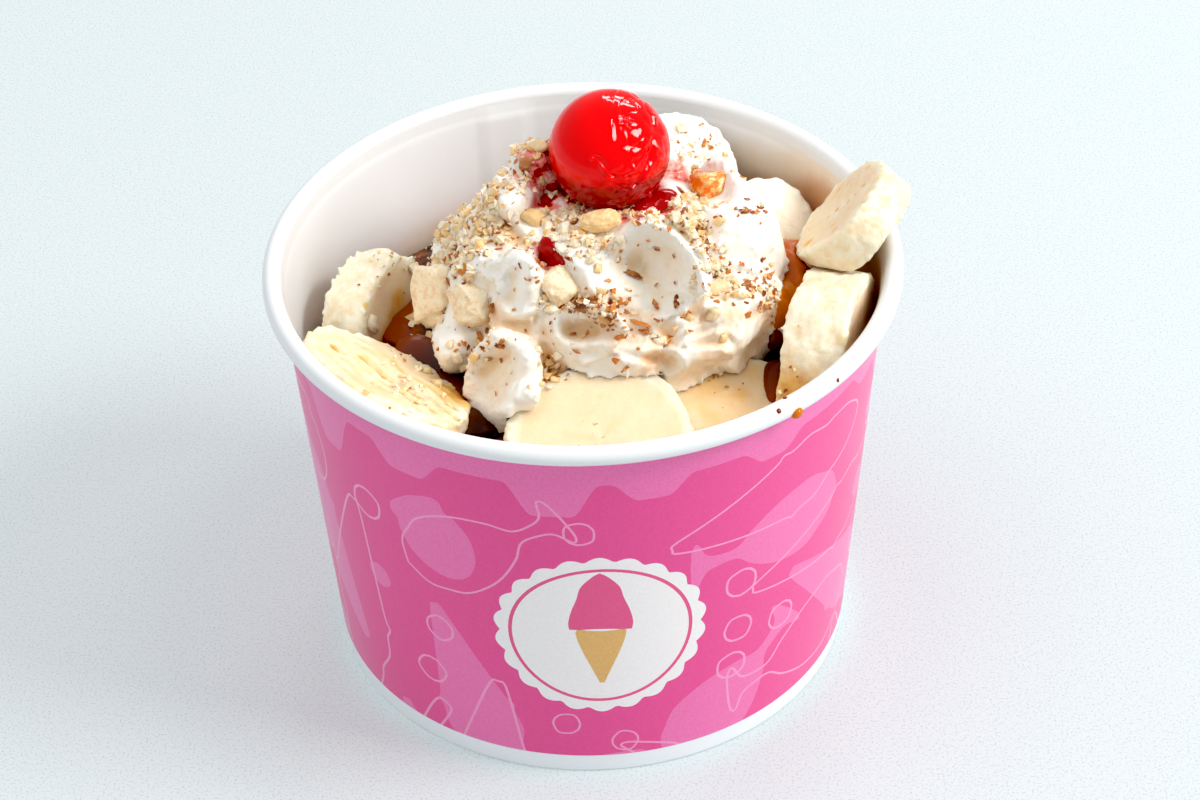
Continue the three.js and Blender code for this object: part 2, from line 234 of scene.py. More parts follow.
class Look:
    """A node material, built up by short calls. Every shader starts from the object's own coordinates."""

    def __init__(self, name):
        self.material = bpy.data.materials.new(name)
        self.material.use_nodes = True
        self.tree = self.material.node_tree
        self.shader = self.tree.nodes["Principled BSDF"]
        self.place = self.node("ShaderNodeTexCoord").outputs["Object"]

    def node(self, kind, settings=None, **sockets):
        made = self.tree.nodes.new(kind)
        for key, value in (settings or {}).items():
            setattr(made, key, value)
        for key, value in sockets.items():
            self.feed(made.inputs[key.replace("_", " ")], value)
        return made

    def feed(self, socket, value):
        if isinstance(value, bpy.types.NodeSocket):
            self.tree.links.new(value, socket)
        else:
            socket.default_value = value

    def set(self, **sockets):
        for key, value in sockets.items():
            self.feed(self.shader.inputs[key.replace("_", " ")], value)

    def attribute(self, name, output="Fac"):
        return self.node("ShaderNodeAttribute", {"attribute_name": name}).outputs[output]

    def noise(self, per_mm, detail, roughness=0.55):
        """Noise with about per_mm cells to the millimetre."""
        settings = {"Vector": self.place, "Scale": per_mm / MM, "Detail": detail, "Roughness": roughness}
        return self.node("ShaderNodeTexNoise", **settings).outputs["Fac"]

    def math(self, operation, a, b=0.0, clamp=False):
        made = self.node("ShaderNodeMath", {"operation": operation, "use_clamp": clamp})
        self.feed(made.inputs[0], a)
        self.feed(made.inputs[1], b)
        return made.outputs[0]

    def times(self, a, b):
        return self.math("MULTIPLY", a, b, clamp=True)

    def between(self, value, low, high):
        """0 at low, 1 at high and smooth in between, also where low is the larger."""
        settings = {"interpolation_type": "SMOOTHSTEP"}
        made = self.node("ShaderNodeMapRange", settings, Value=value, From_Min=low, From_Max=high)
        return made.outputs["Result"]

    def mix(self, share, first, second):
        """A share of the second colour in the first. The sockets for colours have no names of their own."""
        made = self.node("ShaderNodeMix", {"data_type": "RGBA"})
        self.feed(made.inputs[0], share)
        self.feed(made.inputs[6], first)
        self.feed(made.inputs[7], second)
        return made.outputs[2]

    def vector(self, operation, first, second=(0, 0, 0), output=0):
        made = self.node("ShaderNodeVectorMath", {"operation": operation})
        self.feed(made.inputs[0], first)
        self.feed(made.inputs[1], second)
        return made.outputs[output]

    def height(self):
        """Millimetres above the foot."""
        split = self.node("ShaderNodeSeparateXYZ")
        self.feed(split.inputs[0], self.place)
        return self.math("DIVIDE", split.outputs["Z"], MM)

    def bump(self, height, depth_mm):
        made = self.node("ShaderNodeBump", Height=height, Distance=depth_mm * MM, Strength=1.0)
        self.set(Normal=made.outputs["Normal"])


# ------------------------------------------------------------------ mesh helpers


def aim(look, spin=0):
    """Turns local +Z to the direction given by azimuth and elevation, after a spin about local +Z."""
    azimuth, elevation = look
    turn = Matrix.Rotation(math.radians(azimuth), 3, "Z")
    turn @= Matrix.Rotation(math.radians(90 - elevation), 3, "Y")
    return np.array(turn @ Matrix.Rotation(math.radians(spin), 3, "Z"))


def make_piece(name, points, faces, materials, replaced=(), face_materials=None, values=None):
    """A smooth mesh object from points in millimetres, riding on the one body."""
    mesh = bpy.data.meshes.new(name)
    mesh.from_pydata((np.asarray(points, dtype=float) * MM).tolist(), [], [tuple(map(int, f)) for f in faces])
    for material in materials:
        mesh.materials.append(material)
    mesh.polygons.foreach_set("use_smooth", [True] * len(mesh.polygons))
    if face_materials is not None:
        mesh.polygons.foreach_set("material_index", face_materials)
    for key, numbers in (values or {}).items():
        kind = "FLOAT" if numbers.ndim == 1 else "FLOAT_VECTOR"
        layer = mesh.attributes.new(key, kind, "POINT")
        layer.data.foreach_set("value" if numbers.ndim == 1 else "vector", numbers.astype(np.float32).ravel())
    piece = bpy.data.objects.new(name, mesh)
    bpy.context.scene.collection.objects.link(piece)
    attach(piece, "root")
    if replaced:
        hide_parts(*replaced)
    return piece


def ring_faces(rings, sides, closed=False):
    """Quads between closed rings of points that follow one another."""
    faces = []
    for i in range(rings if closed else rings - 1):
        a, b = i * sides, (i + 1) % rings * sides
        for j in range(sides):
            k = (j + 1) % sides
            faces.append((a + j, a + k, b + k, b + j))
    return faces


def turned(outline, sides):
    """Rings of points round the cup's axis from an outline of radius and height."""
    angle = np.arange(sides) * 2 * math.pi / sides
    rings = [(r * np.cos(angle), r * np.sin(angle), np.full(sides, float(z))) for r, z in outline]
    return np.concatenate([np.stack(ring, 1) for ring in rings])


def fan(centre, start, sides, upward):
    """Triangles between a centre point and a ring of points, which look up or down."""
    ring = [(start + j, start + (j + 1) % sides) for j in range(sides)]
    return [(centre, a, b) if upward else (centre, b, a) for a, b in ring]


class Waves:
    """Smooth noise between about -1 and 1: sine waves in seeded directions, 'size' millimetres long."""

    def __init__(self, size, seed, count=9):
        draw = np.random.RandomState(seed)
        direction = unit(draw.normal(size=(count, 3)))
        self.direction = direction * (2 * math.pi / size) * draw.uniform(0.6, 1.5, count)[:, None]
        self.phase = draw.uniform(0, 2 * math.pi, count)

    def at(self, points):
        total = 0
        for direction, phase in zip(self.direction, self.phase):
            total = total + np.sin(points @ direction + phase)
        return total / math.sqrt(len(self.phase))


def unit(vectors):
    """Vectors at a length of 1."""
    return vectors / np.linalg.norm(vectors, axis=-1, keepdims=True)


def ridges(waves, power):
    """1 along the lines where the waves are zero, and less beside them the higher the power is."""
    return (1 - np.minimum(1, np.abs(waves))) ** power


def smoothstep(value, low, high):
    share = np.clip((value - low) / (high - low), 0, 1)
    return share * share * (3 - 2 * share)


# ------------------------------------------------------------------ solids as distance fields


def smooth_union(first, second, blend):
    share = np.clip(0.5 + 0.5 * (second - first) / blend, 0, 1)
    return second * (1 - share) + first * share - blend * share * (1 - share)


def surface_nets(field, low, step):
    """The surface where a grid of distances is zero, as points and quads that face outward."""
    inside = field < 0
    cells = np.array(field.shape) - 1
    total = np.zeros(tuple(cells) + (3,), dtype=np.float32)
    count = np.zeros(tuple(cells), dtype=np.float32)
    crossings = []
    for axis in range(3):
        order = [(0, 1, 2), (1, 0, 2), (1, 2, 0)][axis]
        along = [np.moveaxis(a, axis, 0) for a in (field, inside)]
        i, j, k = np.nonzero(along[1][:-1] != along[1][1:])
        first, second = along[0][i, j, k], along[0][i + 1, j, k]
        share = first / (first - second)
        spot = np.stack([i + share, j, k], axis=1)[:, order]
        cell = np.stack([i, j, k], axis=1)[:, order]
        others = [a for a in range(3) if a != axis]
        for shift in ((0, 0), (0, 1), (1, 0), (1, 1)):
            near = cell.copy()
            near[:, others] -= shift
            fits = ((near >= 0) & (near < cells)).all(axis=1)
            where = tuple(near[fits].T)
            np.add.at(total, where, spot[fits])
            np.add.at(count, where, 1)
        crossings.append((cell, others, along[1][i, j, k] ^ (axis == 1)))
    used = count > 0
    number = np.full(tuple(cells), -1, dtype=np.int64)
    number[used] = np.arange(used.sum())
    points = np.array(low) + step * total[used] / count[used][:, None]
    quads = []
    for cell, others, forward in crossings:
        fits = (cell[:, others] > 0).all(axis=1) & (cell < cells).all(axis=1)
        cell, forward = cell[fits], forward[fits]
        ring = []
        for shift in ((1, 1), (0, 1), (0, 0), (1, 0)):
            near = cell.copy()
            near[:, others] -= shift
            ring.append(number[tuple(near.T)])
        ring = np.stack(ring, axis=1)
        ring[~forward] = ring[~forward][:, ::-1]
        quads.append(ring)
    return points, np.concatenate(quads)


def settle(points, field_of, reach, rounds=2):
    """Pulls points onto the zero of a field. Gives them with the outward directions."""
    tiny = 0.06
    for _ in range(rounds):
        value = field_of(points)
        slope = [field_of(points + step) - field_of(points - step) for step in np.eye(3) * tiny]
        slope = np.stack(slope, axis=1) / (2 * tiny)
        steepness = np.maximum((slope**2).sum(axis=1), 0.05)
        move = -(value / steepness)[:, None] * slope
        size = np.linalg.norm(move, axis=1)[:, None]
        points = points + move * np.minimum(1, reach / np.maximum(size, 1e-9))
    return points, slope / np.sqrt(steepness)[:, None]


def meshed(field_of, low, high, step):
    """Points, outward directions and quads of a solid given by its field inside a box."""
    axes = [np.arange(a, b + step, step) for a, b in zip(low, high)]
    grid = np.stack(np.meshgrid(*axes, indexing="ij"), axis=-1)
    field = field_of(grid.reshape(-1, 3)).reshape(grid.shape[:3])
    points, quads = surface_nets(field, low, step)
    points, outward = settle(points, field_of, step / 2)
    return points, outward, quads


def fill_height(points):
    """Height of the caramel's surface above a place."""
    edge = wall_inner(FILL_EDGE) - SEAM_STEP - GAP
    share = np.hypot(points[:, 0], points[:, 1]) / edge
    return FILL_EDGE + (FILL_CENTRE - FILL_EDGE) * (1 - share**2)


def wall_outer(height):
    return FOOT_RADIUS + (NECK_RADIUS - FOOT_RADIUS) * height / (CUP_HEIGHT - ROLL_RADIUS)


def wall_inner(height):
    return wall_outer(height) - PAPER


def wall_distance(points, gap):
    """Positive where a point is in the cup's wall or rim, or closer to them than the gap."""
    reach = np.hypot(points[:, 0], points[:, 1])
    roll_radius, roll_height = RIM_RADIUS - ROLL_RADIUS, CUP_HEIGHT - ROLL_RADIUS
    wall = np.minimum(reach - (wall_inner(points[:, 2]) - SEAM_STEP - gap), roll_height - points[:, 2])
    roll = ROLL_RADIUS + gap - np.hypot(reach - roll_radius, points[:, 2] - roll_height)
    return np.maximum(wall, roll)


# ------------------------------------------------------------------ banana

BANANA_STEP = 0.42
BULGE = 0.35                         # how far a slice's side stands out halfway up
EDGE_ROUNDING = 0.8
SPLIT_DEPTH = 1.7
SPLIT_WIDTH = 0.075                  # as a share of the radius


def slice_local(points, spec):
    return (points - np.array(spec.at)) @ aim(spec.look, spec.spin)


def slice_half(spec):
    return np.array([spec.radius * spec.stretch, spec.radius, spec.thickness / 2])


def slice_reach(local, spec):
    """Distance outward of the slice's three-lobed outline."""
    angle = np.arctan2(local[:, 1], local[:, 0] / spec.stretch)
    lobes = 1 + 0.022 * np.cos(3 * angle) + 0.012 * np.cos(5 * angle + 1)
    return np.hypot(local[:, 0] / spec.stretch, local[:, 1]) - spec.radius * lobes


def edge_distance(outward, upward):
    """Distance to a solid from the distances to its side and to its faces, which meet at a right angle."""
    beyond = np.hypot(np.maximum(outward, 0), np.maximum(upward, 0))
    return beyond + np.minimum(np.maximum(outward, upward), 0)


def plain_slice(points, spec):
    """Distance to a slice without its surface detail, for cutting its neighbours."""
    local = slice_local(points, spec)
    return edge_distance(slice_reach(local, spec) - BULGE, np.abs(local[:, 2]) - spec.thickness / 2)


# How far the sauce has soaked into a whole slice
SOAKED = {
    "banana_slice_right_inner": 0.8, "banana_slice_front_right": 0.16, "banana_slice_back_right": 0.05,
    "banana_slice_left": 0.13, "banana_slice_rim": 0.08,
}
PALE = {"banana_slice_back": 0.9, "banana_slice_back_right": 0.5}
# How far a soft slice's sides and edges are out of shape, in mm
MUSHY = {"banana_slice_left_back": 0.35, "banana_slice_right": 0.14, "banana_slice_left": 0.12}
# Sauce on the slices: pixel, radius in mm, strength
SLICE_SAUCE = [
    ((448, 378), 5.0, 0.6), ((463, 398), 5.6, 0.6), ((430, 358), 4.0, 0.6), ((474, 416), 4.4, 0.6),
    ((414, 344), 3.0, 0.5), ((402, 334), 2.2, 0.5), ((398, 300), 2.6, 0.5), ((392, 320), 2.6, 0.5),
    ((366, 305), 0.7, 0.4), ((384, 356), 1.2, 0.2), ((400, 378), 1.4, 0.2), ((364, 350), 1.0, 0.2),
    ((420, 396), 1.4, 0.15), ((740, 395), 3.0, 0.3), ((700, 380), 2.0, 0.2), ((792, 392), 5.0, 0.42),
    ((812, 372), 2.4, 0.18), ((842, 340), 2.2, 0.2), ((866, 320), 2.5, 0.45), ((788, 244), 2.2, 0.3),
    ((808, 243), 1.0, 0.5), ((782, 320), 3.0, 0.7), ((600, 396), 1.0, 0.15),
]

# Splits in the upper face of the left slice: offset across, start and end along, all as shares of the radius
SPLITS = [(-0.02, -0.62, 0.5), (0.2, -0.72, 0.78), (0.44, -0.5, 0.4)]


def side_distance(local, shares, angle, name, seed):
    """Distance outward of a slice's side, with fibres and soft dents."""
    fibres = 0.03 * np.sin(41 * angle + 3 * Waves(9, seed).at(local))
    fibres *= smoothstep(Waves(10, seed + 2).at(local), -0.4, 0.8)
    dents = 0.16 * Waves(5, seed + 4).at(local) + 0.05 * Waves(1.8, seed + 9, 12).at(local)
    dents += 0.05 * np.sin(3.4 * local[:, 2] + 2 * Waves(8, seed + 13).at(local))
    dents += MUSHY.get(name, 0) * Waves(6, seed + 14).at(local)
    return slice_reach(local, SLICES[name]) - BULGE * np.cos(shares[:, 2] * 1.5) + fibres + dents


def face_distance(local, shares, angle, name, seed):
    """Distance outward of a slice's cut faces, with heart, grain and what only some slices have."""
    flat = local * (1, 1, 0)
    above = local[:, 2] > 0
    reach = np.hypot(shares[:, 0], shares[:, 1])
    heart = np.exp(-((reach / 0.3) ** 2)) * (0.12 + 0.2 * np.cos(1.5 * angle + seed) ** 2)
    grain = 0.03 * Waves(2.6, seed + 1, 14).at(flat) + 0.25 * Waves(13, seed + 3).at(local)
    upward = np.abs(local[:, 2]) - SLICES[name].thickness / 2 + grain + heart
    if name == "banana_slice_left":
        for across, start, end in SPLITS:
            line = np.abs(shares[:, 1] - across - 0.06 * np.sin(4 * shares[:, 0]))
            along = smoothstep(shares[:, 0], start, start + 0.2)
            along *= 1 - smoothstep(shares[:, 0], end - 0.2, end)
            upward += SPLIT_DEPTH * along * np.exp(-((line / SPLIT_WIDTH) ** 2)) * above
        furrows = np.sin(local[:, 1] * 2.2 + 1.5 * Waves(13, seed + 11).at(local))
        upward += 0.22 * furrows * smoothstep(Waves(12, seed + 12).at(local), -0.6, 0.4) * above
    if name == "banana_slice_rim":
        ruffles = 0.22 * np.abs(Waves(2.4, seed + 5).at(flat))
        upward += (ruffles + 0.3 * np.exp(-(((shares[:, 1] + 0.05) / 0.12) ** 2))) * above
    return upward


def detailed_slice(points, name, seed):
    local = slice_local(points, SLICES[name])
    shares = local / slice_half(SLICES[name])
    angle = np.arctan2(shares[:, 1], shares[:, 0])
    outward = side_distance(local, shares, angle, name, seed)
    upward = face_distance(local, shares, angle, name, seed)
    ragged = Waves(3.1, seed + 6).at(local) + 0.7 * Waves(1.3, seed + 7).at(local)
    corner = np.exp(-((outward**2 + upward**2) / 1.6))
    field = edge_distance(outward + EDGE_ROUNDING, upward + EDGE_ROUNDING) - EDGE_ROUNDING
    return field + (0.16 + 0.3 * MUSHY.get(name, 0)) * corner * ragged


def slice_field(points, name, seed):
    """Distance to a slice that leaves room for the slices before it and for the cup."""
    field = detailed_slice(points, name, seed)
    for earlier in SLICES:
        if earlier == name:
            break
        field = np.maximum(field, GAP - plain_slice(points, SLICES[earlier]))
    return np.maximum(field, wall_distance(points, GAP))


def add_slice(name, material, seed):
    spec = SLICES[name]
    turn = aim(spec.look, spec.spin)
    half = np.array([spec.radius * spec.stretch * 1.06, spec.radius * 1.06, spec.thickness / 2 + 0.9])

    def local_field(local):
        return slice_field(local @ turn.T + spec.at, name, seed)

    local, outward, quads = meshed(local_field, -half, half, BANANA_STEP)
    points = local @ turn.T + spec.at
    above = points[:, 2] - fill_height(points) + 1.2 * Waves(9, seed + 8).at(points)
    wet = 0.6 - 0.6 * smoothstep(above, 0, 4)
    sauce = stain_and_shade(points, front_finder(points, quads), SLICE_SAUCE)
    hollow = ((relaxed(local, quads, 14) - local) * outward).sum(axis=1)
    # Painted shade: every slice turns golden in its grooves and hollows, added to the sauce soaked into the
    # whole slice.
    groove_shade = 0.42 * smoothstep(hollow, 0.05, 0.35)
    soaked_and_shaded = groove_shade + SOAKED.get(name, 0) * (1 + 0.3 * Waves(8, seed + 10).at(points))
    soak_and_shade = np.maximum(np.maximum(wet, sauce), soaked_and_shaded)
    pale = np.full(len(points), float(PALE.get(name, 0)))
    values = {"spot": local / slice_half(spec), "soak_and_shade": soak_and_shade, "pale": pale}
    piece = name.replace("banana_slice", "banana")
    return make_piece(piece, points, quads, [material], [name], values=values)


def banana_look():
    look = Look("banana_flesh")
    spot = look.attribute("spot", "Vector")
    split = look.node("ShaderNodeSeparateXYZ")
    look.feed(split.inputs[0], spot)
    reach = look.vector("LENGTH", look.vector("MULTIPLY", spot, (1, 1, 0)), output="Value")
    angle = look.math("ARCTAN2", split.outputs["Y"], split.outputs["X"])
    face = look.between(look.math("ABSOLUTE", split.outputs["Z"]), 0.82, 0.95)
    uneven = look.noise(0.12, 4)
    mottled = look.between(look.noise(0.4, 5, roughness=0.7), 0.4, 0.66)
    flank = look.mix(mottled, srgb(250, 241, 222), srgb(244, 226, 194))
    cut = look.mix(uneven, srgb(248, 232, 208), srgb(242, 217, 178))
    ring = look.between(look.math("ADD", reach, look.math("MULTIPLY", look.noise(0.3, 3), 0.1)), 0.88, 0.97)
    rimmed = look.mix(ring, cut, srgb(247, 238, 216))
    flesh = look.mix(face, flank, rimmed)
    lobes = look.between(look.math("COSINE", look.math("MULTIPLY", angle, 3.0)), 0.55, 1.0)
    star = look.times(look.times(lobes, look.between(reach, 0.6, 0.1)), look.times(face, 0.25))
    warm = look.mix(star, flesh, srgb(238, 206, 140))
    heart = look.times(look.between(reach, 0.42, 0.2), face)
    seeds = look.times(heart, look.between(look.noise(1.1, 2), 0.66, 0.72))
    seeded = look.mix(look.times(seeds, 0.6), warm, srgb(176, 132, 76))
    patchy = look.math("MULTIPLY", look.math("SUBTRACT", look.noise(0.35, 4), 0.5), 0.2)
    # The soak attribute holds the sauce soaked into the slices and the painted shade in their grooves.
    soak_and_shade = look.math("ADD", look.attribute("soak_and_shade"), patchy)
    blanched = look.mix(look.attribute("pale"), seeded, srgb(252, 246, 236))
    light = look.mix(look.between(soak_and_shade, 0.04, 0.4), blanched, srgb(240, 196, 118))
    orange = look.mix(look.between(soak_and_shade, 0.4, 0.68), light, srgb(200, 100, 6))
    look.set(Base_Color=orange, Roughness=0.38)
    look.set(Subsurface_Weight=0.5, Subsurface_Scale=0.0035, Subsurface_Radius=(1, 0.7, 0.28))
    look.set(Coat_Weight=0.2, Coat_Roughness=0.25)
    look.bump(look.noise(0.8, 4), 0.16)
    return look.material


# ------------------------------------------------------------------ whipped cream

CREAM_LOW = (-36, -34, 58)
CREAM_HIGH = (43, 43, 102)
CREAM_STEP = 0.45
FOLD_BLEND = 2.0
DRAWN_DEPTH = 1.35                   # of the crests and mounds below
CREASE_DEPTH = 0.95
CHUNK_CLEARANCE = 1.0                # how far the cream draws back round a large piece of nut
WHOLE_NUT_CLEARANCE = -0.6           # below 0, the cream rises under it


def fold_distance(points, fold):
    """Distance to a flattened ball that is bent both ways, as in the CAD model."""
    local = (points - np.array(fold.at)) @ aim(fold.look, fold.spin)
    half = np.array(fold.size) / 2
    across = np.clip(local[:, :2] / half[:2], -1.2, 1.2)
    local[:, 2] -= fold.bend[0] * across[:, 0] ** 2 + fold.bend[1] * across[:, 1] ** 2
    near = np.linalg.norm(local / half, axis=1)
    slope = np.linalg.norm(local / half**2, axis=1)
    return near * (near - 1) / np.maximum(slope, 1e-6)


def nearby(points, centre, reach):
    return (np.abs(points - np.asarray(centre)) < reach).all(axis=1)


# Crests drawn on the cream's front: pixels along the line, height in mm, and how far the slope reaches in mm
# on the left and on the right of someone who walks along the line
CRESTS = [
    ([(701, 313), (706, 298), (704, 282), (696, 262), (684, 244), (668, 230), (648, 222), (628, 226),
      (612, 238), (602, 250)], 3.2, 4.2, 0.7),
    ([(727, 351), (741, 350), (746, 338), (745, 322), (752, 306), (766, 296)], 2.2, 3.0, 0.7),
    ([(672, 342), (682, 333), (696, 327), (712, 322), (722, 314)], 1.5, 0.7, 1.1),
    ([(670, 350), (684, 343), (700, 337), (716, 333), (730, 334)], 1.6, 0.7, 1.2),
    ([(684, 356), (700, 350), (716, 349), (730, 354), (742, 362)], 1.2, 0.7, 1.3),
    ([(684, 373), (691, 364), (704, 360), (716, 361), (728, 367), (738, 376), (748, 388), (758, 401)],
     2.2, 3.4, 0.6),
    ([(636, 354), (652, 350), (668, 350), (681, 356), (684, 366), (678, 376), (664, 378)], 1.5, 1.1, 0.9),
    ([(697, 312), (706, 307), (715, 305), (722, 312), (724, 324)], 1.2, 0.8, 0.9),
    ([(610, 358), (630, 362), (650, 366), (664, 362)], 0.8, 0.9, 0.8),
    ([(612, 338), (590, 343), (568, 344), (558, 336), (556, 324), (562, 316)], 1.2, 1.2, 1.4),
    ([(652, 353), (630, 350), (600, 346), (570, 352)], 0.6, 0.6, 1.6),
    ([(484, 424), (492, 412), (503, 400), (508, 386), (514, 374), (523, 362), (518, 350), (506, 343)],
     3.0, 2.6, 3.4),
    ([(520, 346), (508, 341), (494, 345), (480, 356), (468, 372)], 1.4, 2.2, 1.0),
    ([(452, 396), (444, 380), (440, 360), (437, 336), (440, 312)], 1.6, 0.8, 2.5),
    ([(484, 272), (492, 264), (506, 258), (520, 256), (532, 262), (540, 276), (541, 292)], 2.4, 0.8, 1.6),
    ([(480, 266), (484, 276), (494, 277), (506, 270), (518, 262)], 1.2, 0.7, 0.7),
    ([(494, 298), (500, 309), (512, 315), (528, 314), (540, 306)], 1.8, 1.6, 0.6),
    ([(552, 248), (568, 258), (581, 272), (590, 290), (604, 300)], 1.5, 2.0, 0.9),
    ([(556, 316), (554, 334), (558, 352), (566, 366)], 1.2, 1.6, 1.0),
    ([(502, 188), (500, 202), (508, 216), (524, 232), (540, 246)], 1.6, 2.2, 0.8),
    ([(474, 196), (484, 216), (500, 236), (512, 252)], 1.0, 0.8, 1.6),
    ([(716, 230), (724, 216), (742, 208), (760, 214)], 0.9, 0.8, 2.5),
    ([(712, 300), (730, 294), (752, 296), (766, 286), (782, 270)], 0.9, 1.8, 0.7),
    ([(712, 272), (736, 266), (758, 272), (776, 268)], 0.6, 1.6, 0.5),
    ([(640, 322), (662, 318), (684, 322), (700, 316)], 0.7, 0.8, 1.0),
    ([(466, 392), (484, 384), (498, 370), (506, 358)], 0.5, 1.4, 1.4),
    ([(748, 330), (758, 352), (764, 376), (766, 396)], 0.8, 0.8, 1.6),
]

# Mounds, and hollows where the height is below 0: centre, half width and half height in pixels, height in mm
MOUNDS = [
    ((748, 244), (38, 34), 2.2), ((736, 182), (16, 24), 1.4), ((514, 202), (17, 16), 2.4),
    ((530, 158), (20, 14), 1.6), ((655, 270), (34, 34), -1.6), ((588, 330), (26, 12), -2.0),
    ((528, 330), (30, 20), -2.0), ((552, 362), (16, 20), -2.6), ((512, 280), (11, 13), -1.6),
    ((550, 262), (15, 12), -2.8), ((496, 376), (24, 26), -2.0), ((656, 360), (18, 9), -0.9),
    ((730, 330), (18, 22), 1.2), ((455, 345), (18, 30), 1.4), ((760, 365), (14, 30), -1.4),
    ((534, 286), (16, 20), 1.2), ((526, 396), (24, 14), 4.0), ((502, 414), (15, 12), 3.4),
    ((508, 296), (10, 8), -1.0), ((700, 232), (16, 16), -1.0), ((490, 310), (8, 18), -1.4),
    ((620, 296), (40, 18), 0.8), ((610, 330), (14, 10), 0.4),
]


class Cream:
    """The heap with its folds, and crests, mounds and hollows that the camera's side of it shows."""

    MAP_LOW = (396, 96)              # the part of the view that shows cream, in pixels
    MAP_HIGH = (810, 446)
    MAP_STEP = 2
    FIRST_DEPTH = 545.0              # mm from the camera, in front of the heap
    LAST_DEPTH = 690                 # beyond it
    MISSED_DEPTH = 660               # for the sight lines that pass it by
    LOOKS = 40

    def __init__(self):
        self.warp = [Waves(9, seed) for seed in (1, 2, 3)]
        self.ripple = Waves(4.5, 4)
        self.crease = Waves(10, 8, 12)
        self.small_crease = Waves(3.6, 9, 12)
        self.creased = Waves(16, 10)
        columns = np.arange(self.MAP_LOW[0], self.MAP_HIGH[0], self.MAP_STEP)
        rows = np.arange(self.MAP_LOW[1], self.MAP_HIGH[1], self.MAP_STEP)
        pixels = np.stack(np.meshgrid(columns, rows, indexing="ij"), axis=-1)
        self.relief = self.drawn_relief(pixels.reshape(-1, 2).astype(float)).reshape(pixels.shape[:2])
        self.front = self.front_depth(pixels.reshape(-1, 2)).reshape(pixels.shape[:2])

    @staticmethod
    def drawn_relief(pixels):
        """How far the crests, mounds and hollows stand out at pixels of the view, in millimetres."""
        total = np.zeros(len(pixels))
        for line, height, left, right in CRESTS:
            path = spline(np.array(line, dtype=float), 8)
            gap = pixels[:, None, :] - path[None, :, :]
            nearest = np.argmin((gap**2).sum(axis=2), axis=1)
            ahead = unit(np.gradient(path, axis=0))
            offset = pixels - path[nearest]
            side = offset[:, 0] * ahead[nearest, 1] - offset[:, 1] * ahead[nearest, 0]
            away = np.linalg.norm(offset, axis=1) / PIXELS_PER_MM
            along = nearest / (len(path) - 1)
            taper = np.minimum(1, 4 * along + 0.15) * np.minimum(1, 4 * (1 - along) + 0.15)
            reach = np.where(side > 0, left, right)
            total += height * taper * np.exp(-((away / reach) ** 1.6))
        for (x, y), (wide, high), height in MOUNDS:
            share = ((pixels[:, 0] - x) / wide) ** 2 + ((pixels[:, 1] - y) / high) ** 2
            total += height * np.exp(-(share**1.5))
        total *= DRAWN_DEPTH
        for name, (at, size, _, _) in CHUNKS.items():
            spot = pixels_of([at])[0][0]
            share = ((pixels - spot) ** 2).sum(axis=1) / (max(size[:2]) * 0.6 * PIXELS_PER_MM) ** 2
            close = np.exp(-(share**2))
            clearance = WHOLE_NUT_CLEARANCE if name == "nut_whole" else CHUNK_CLEARANCE
            total = total * (1 - close) - clearance * close
        return total

    def front_depth(self, pixels):
        """How far the camera sees along each sight line before it meets the heap."""
        reach = SENSOR / 2 / LENS / (VIEW_WIDTH / 2)
        right = (pixels[:, 0] - VIEW_WIDTH / 2) * reach
        up = (VIEW_HEIGHT / 2 - pixels[:, 1]) * reach
        ways = np.stack([right, up, np.full(len(pixels), -1.0)], axis=1)
        ways = ways @ np.array(camera_turn().to_matrix()).T
        depth = np.full(len(pixels), self.FIRST_DEPTH)
        for _ in range(self.LOOKS):
            depth += np.clip(self.heap(np.array(CAMERA_AT) + ways * depth[:, None]) * 0.7, -1, 6)
        return np.where(depth > self.LAST_DEPTH, self.MISSED_DEPTH, depth)

    def heap(self, points):
        """Distance to the heap with its folds, before anything is drawn on it."""
        warped = points + 0.5 * np.stack([waves.at(points) for waves in self.warp], axis=1)
        heights, radii = zip(*HEAP_OUTLINE)
        across = np.hypot(*((warped[:, :2] - HEAP_CENTRE) / HEAP_STRETCH).T)
        field = (across - np.interp(warped[:, 2], heights, radii)) * 0.7
        field = np.maximum(field, warped[:, 2] - HEAP_OUTLINE[-1][0])
        for fold in FOLDS:
            near = nearby(warped, fold.at, max(fold.size) / 2 + max(map(abs, fold.bend)) + 4)
            field[near] = smooth_union(field[near], fold_distance(warped[near], fold), FOLD_BLEND)
        return field

    def creases(self, points):
        """How far sharp-edged small folds stand out."""
        bent = points + 1.6 * np.stack([waves.at(points) for waves in self.warp], axis=1)
        crest = ridges(self.crease.at(bent), 3)
        small = ridges(self.small_crease.at(bent), 3)
        where = smoothstep(self.creased.at(points), -0.5, 0.6)
        return CREASE_DEPTH * (where * crest + 0.4 * (1 - where) * small) - 0.06 * self.ripple.at(points)

    def field(self, points):
        """Distance to the cream, with all that is drawn on it and room for the slices and the caramel."""
        pixels, depth = pixels_of(points)
        spot = (pixels - self.MAP_LOW) / self.MAP_STEP
        spot = np.clip(spot, 0, np.array(self.relief.shape) - 1.001)
        cell = spot.astype(int)
        part = spot - cell
        total = [0, 0]
        for i in (0, 1):
            for j in (0, 1):
                weight = (part[:, 0] if i else 1 - part[:, 0]) * (part[:, 1] if j else 1 - part[:, 1])
                for number, values in enumerate((self.relief, self.front)):
                    total[number] = total[number] + weight * values[cell[:, 0] + i, cell[:, 1] + j]
        relief, front = total
        way = unit(points - CAMERA_AT)
        shown = 1 - smoothstep(depth - front, 7, 15)
        field = self.heap(points + way * (relief * shown)[:, None])
        close = np.abs(field) < 3
        calm = 1 - 0.5 * smoothstep(np.abs(relief[close]), 0, 0.5) * shown[close]
        field[close] -= self.creases(points[close]) * calm
        for spec in SLICES.values():
            near = nearby(points, spec.at, spec.radius * spec.stretch + 2)
            field[near] = np.maximum(field[near], GAP - plain_slice(points[near], spec))
        return np.maximum(field, fill_height(points) + GAP - points[:, 2])


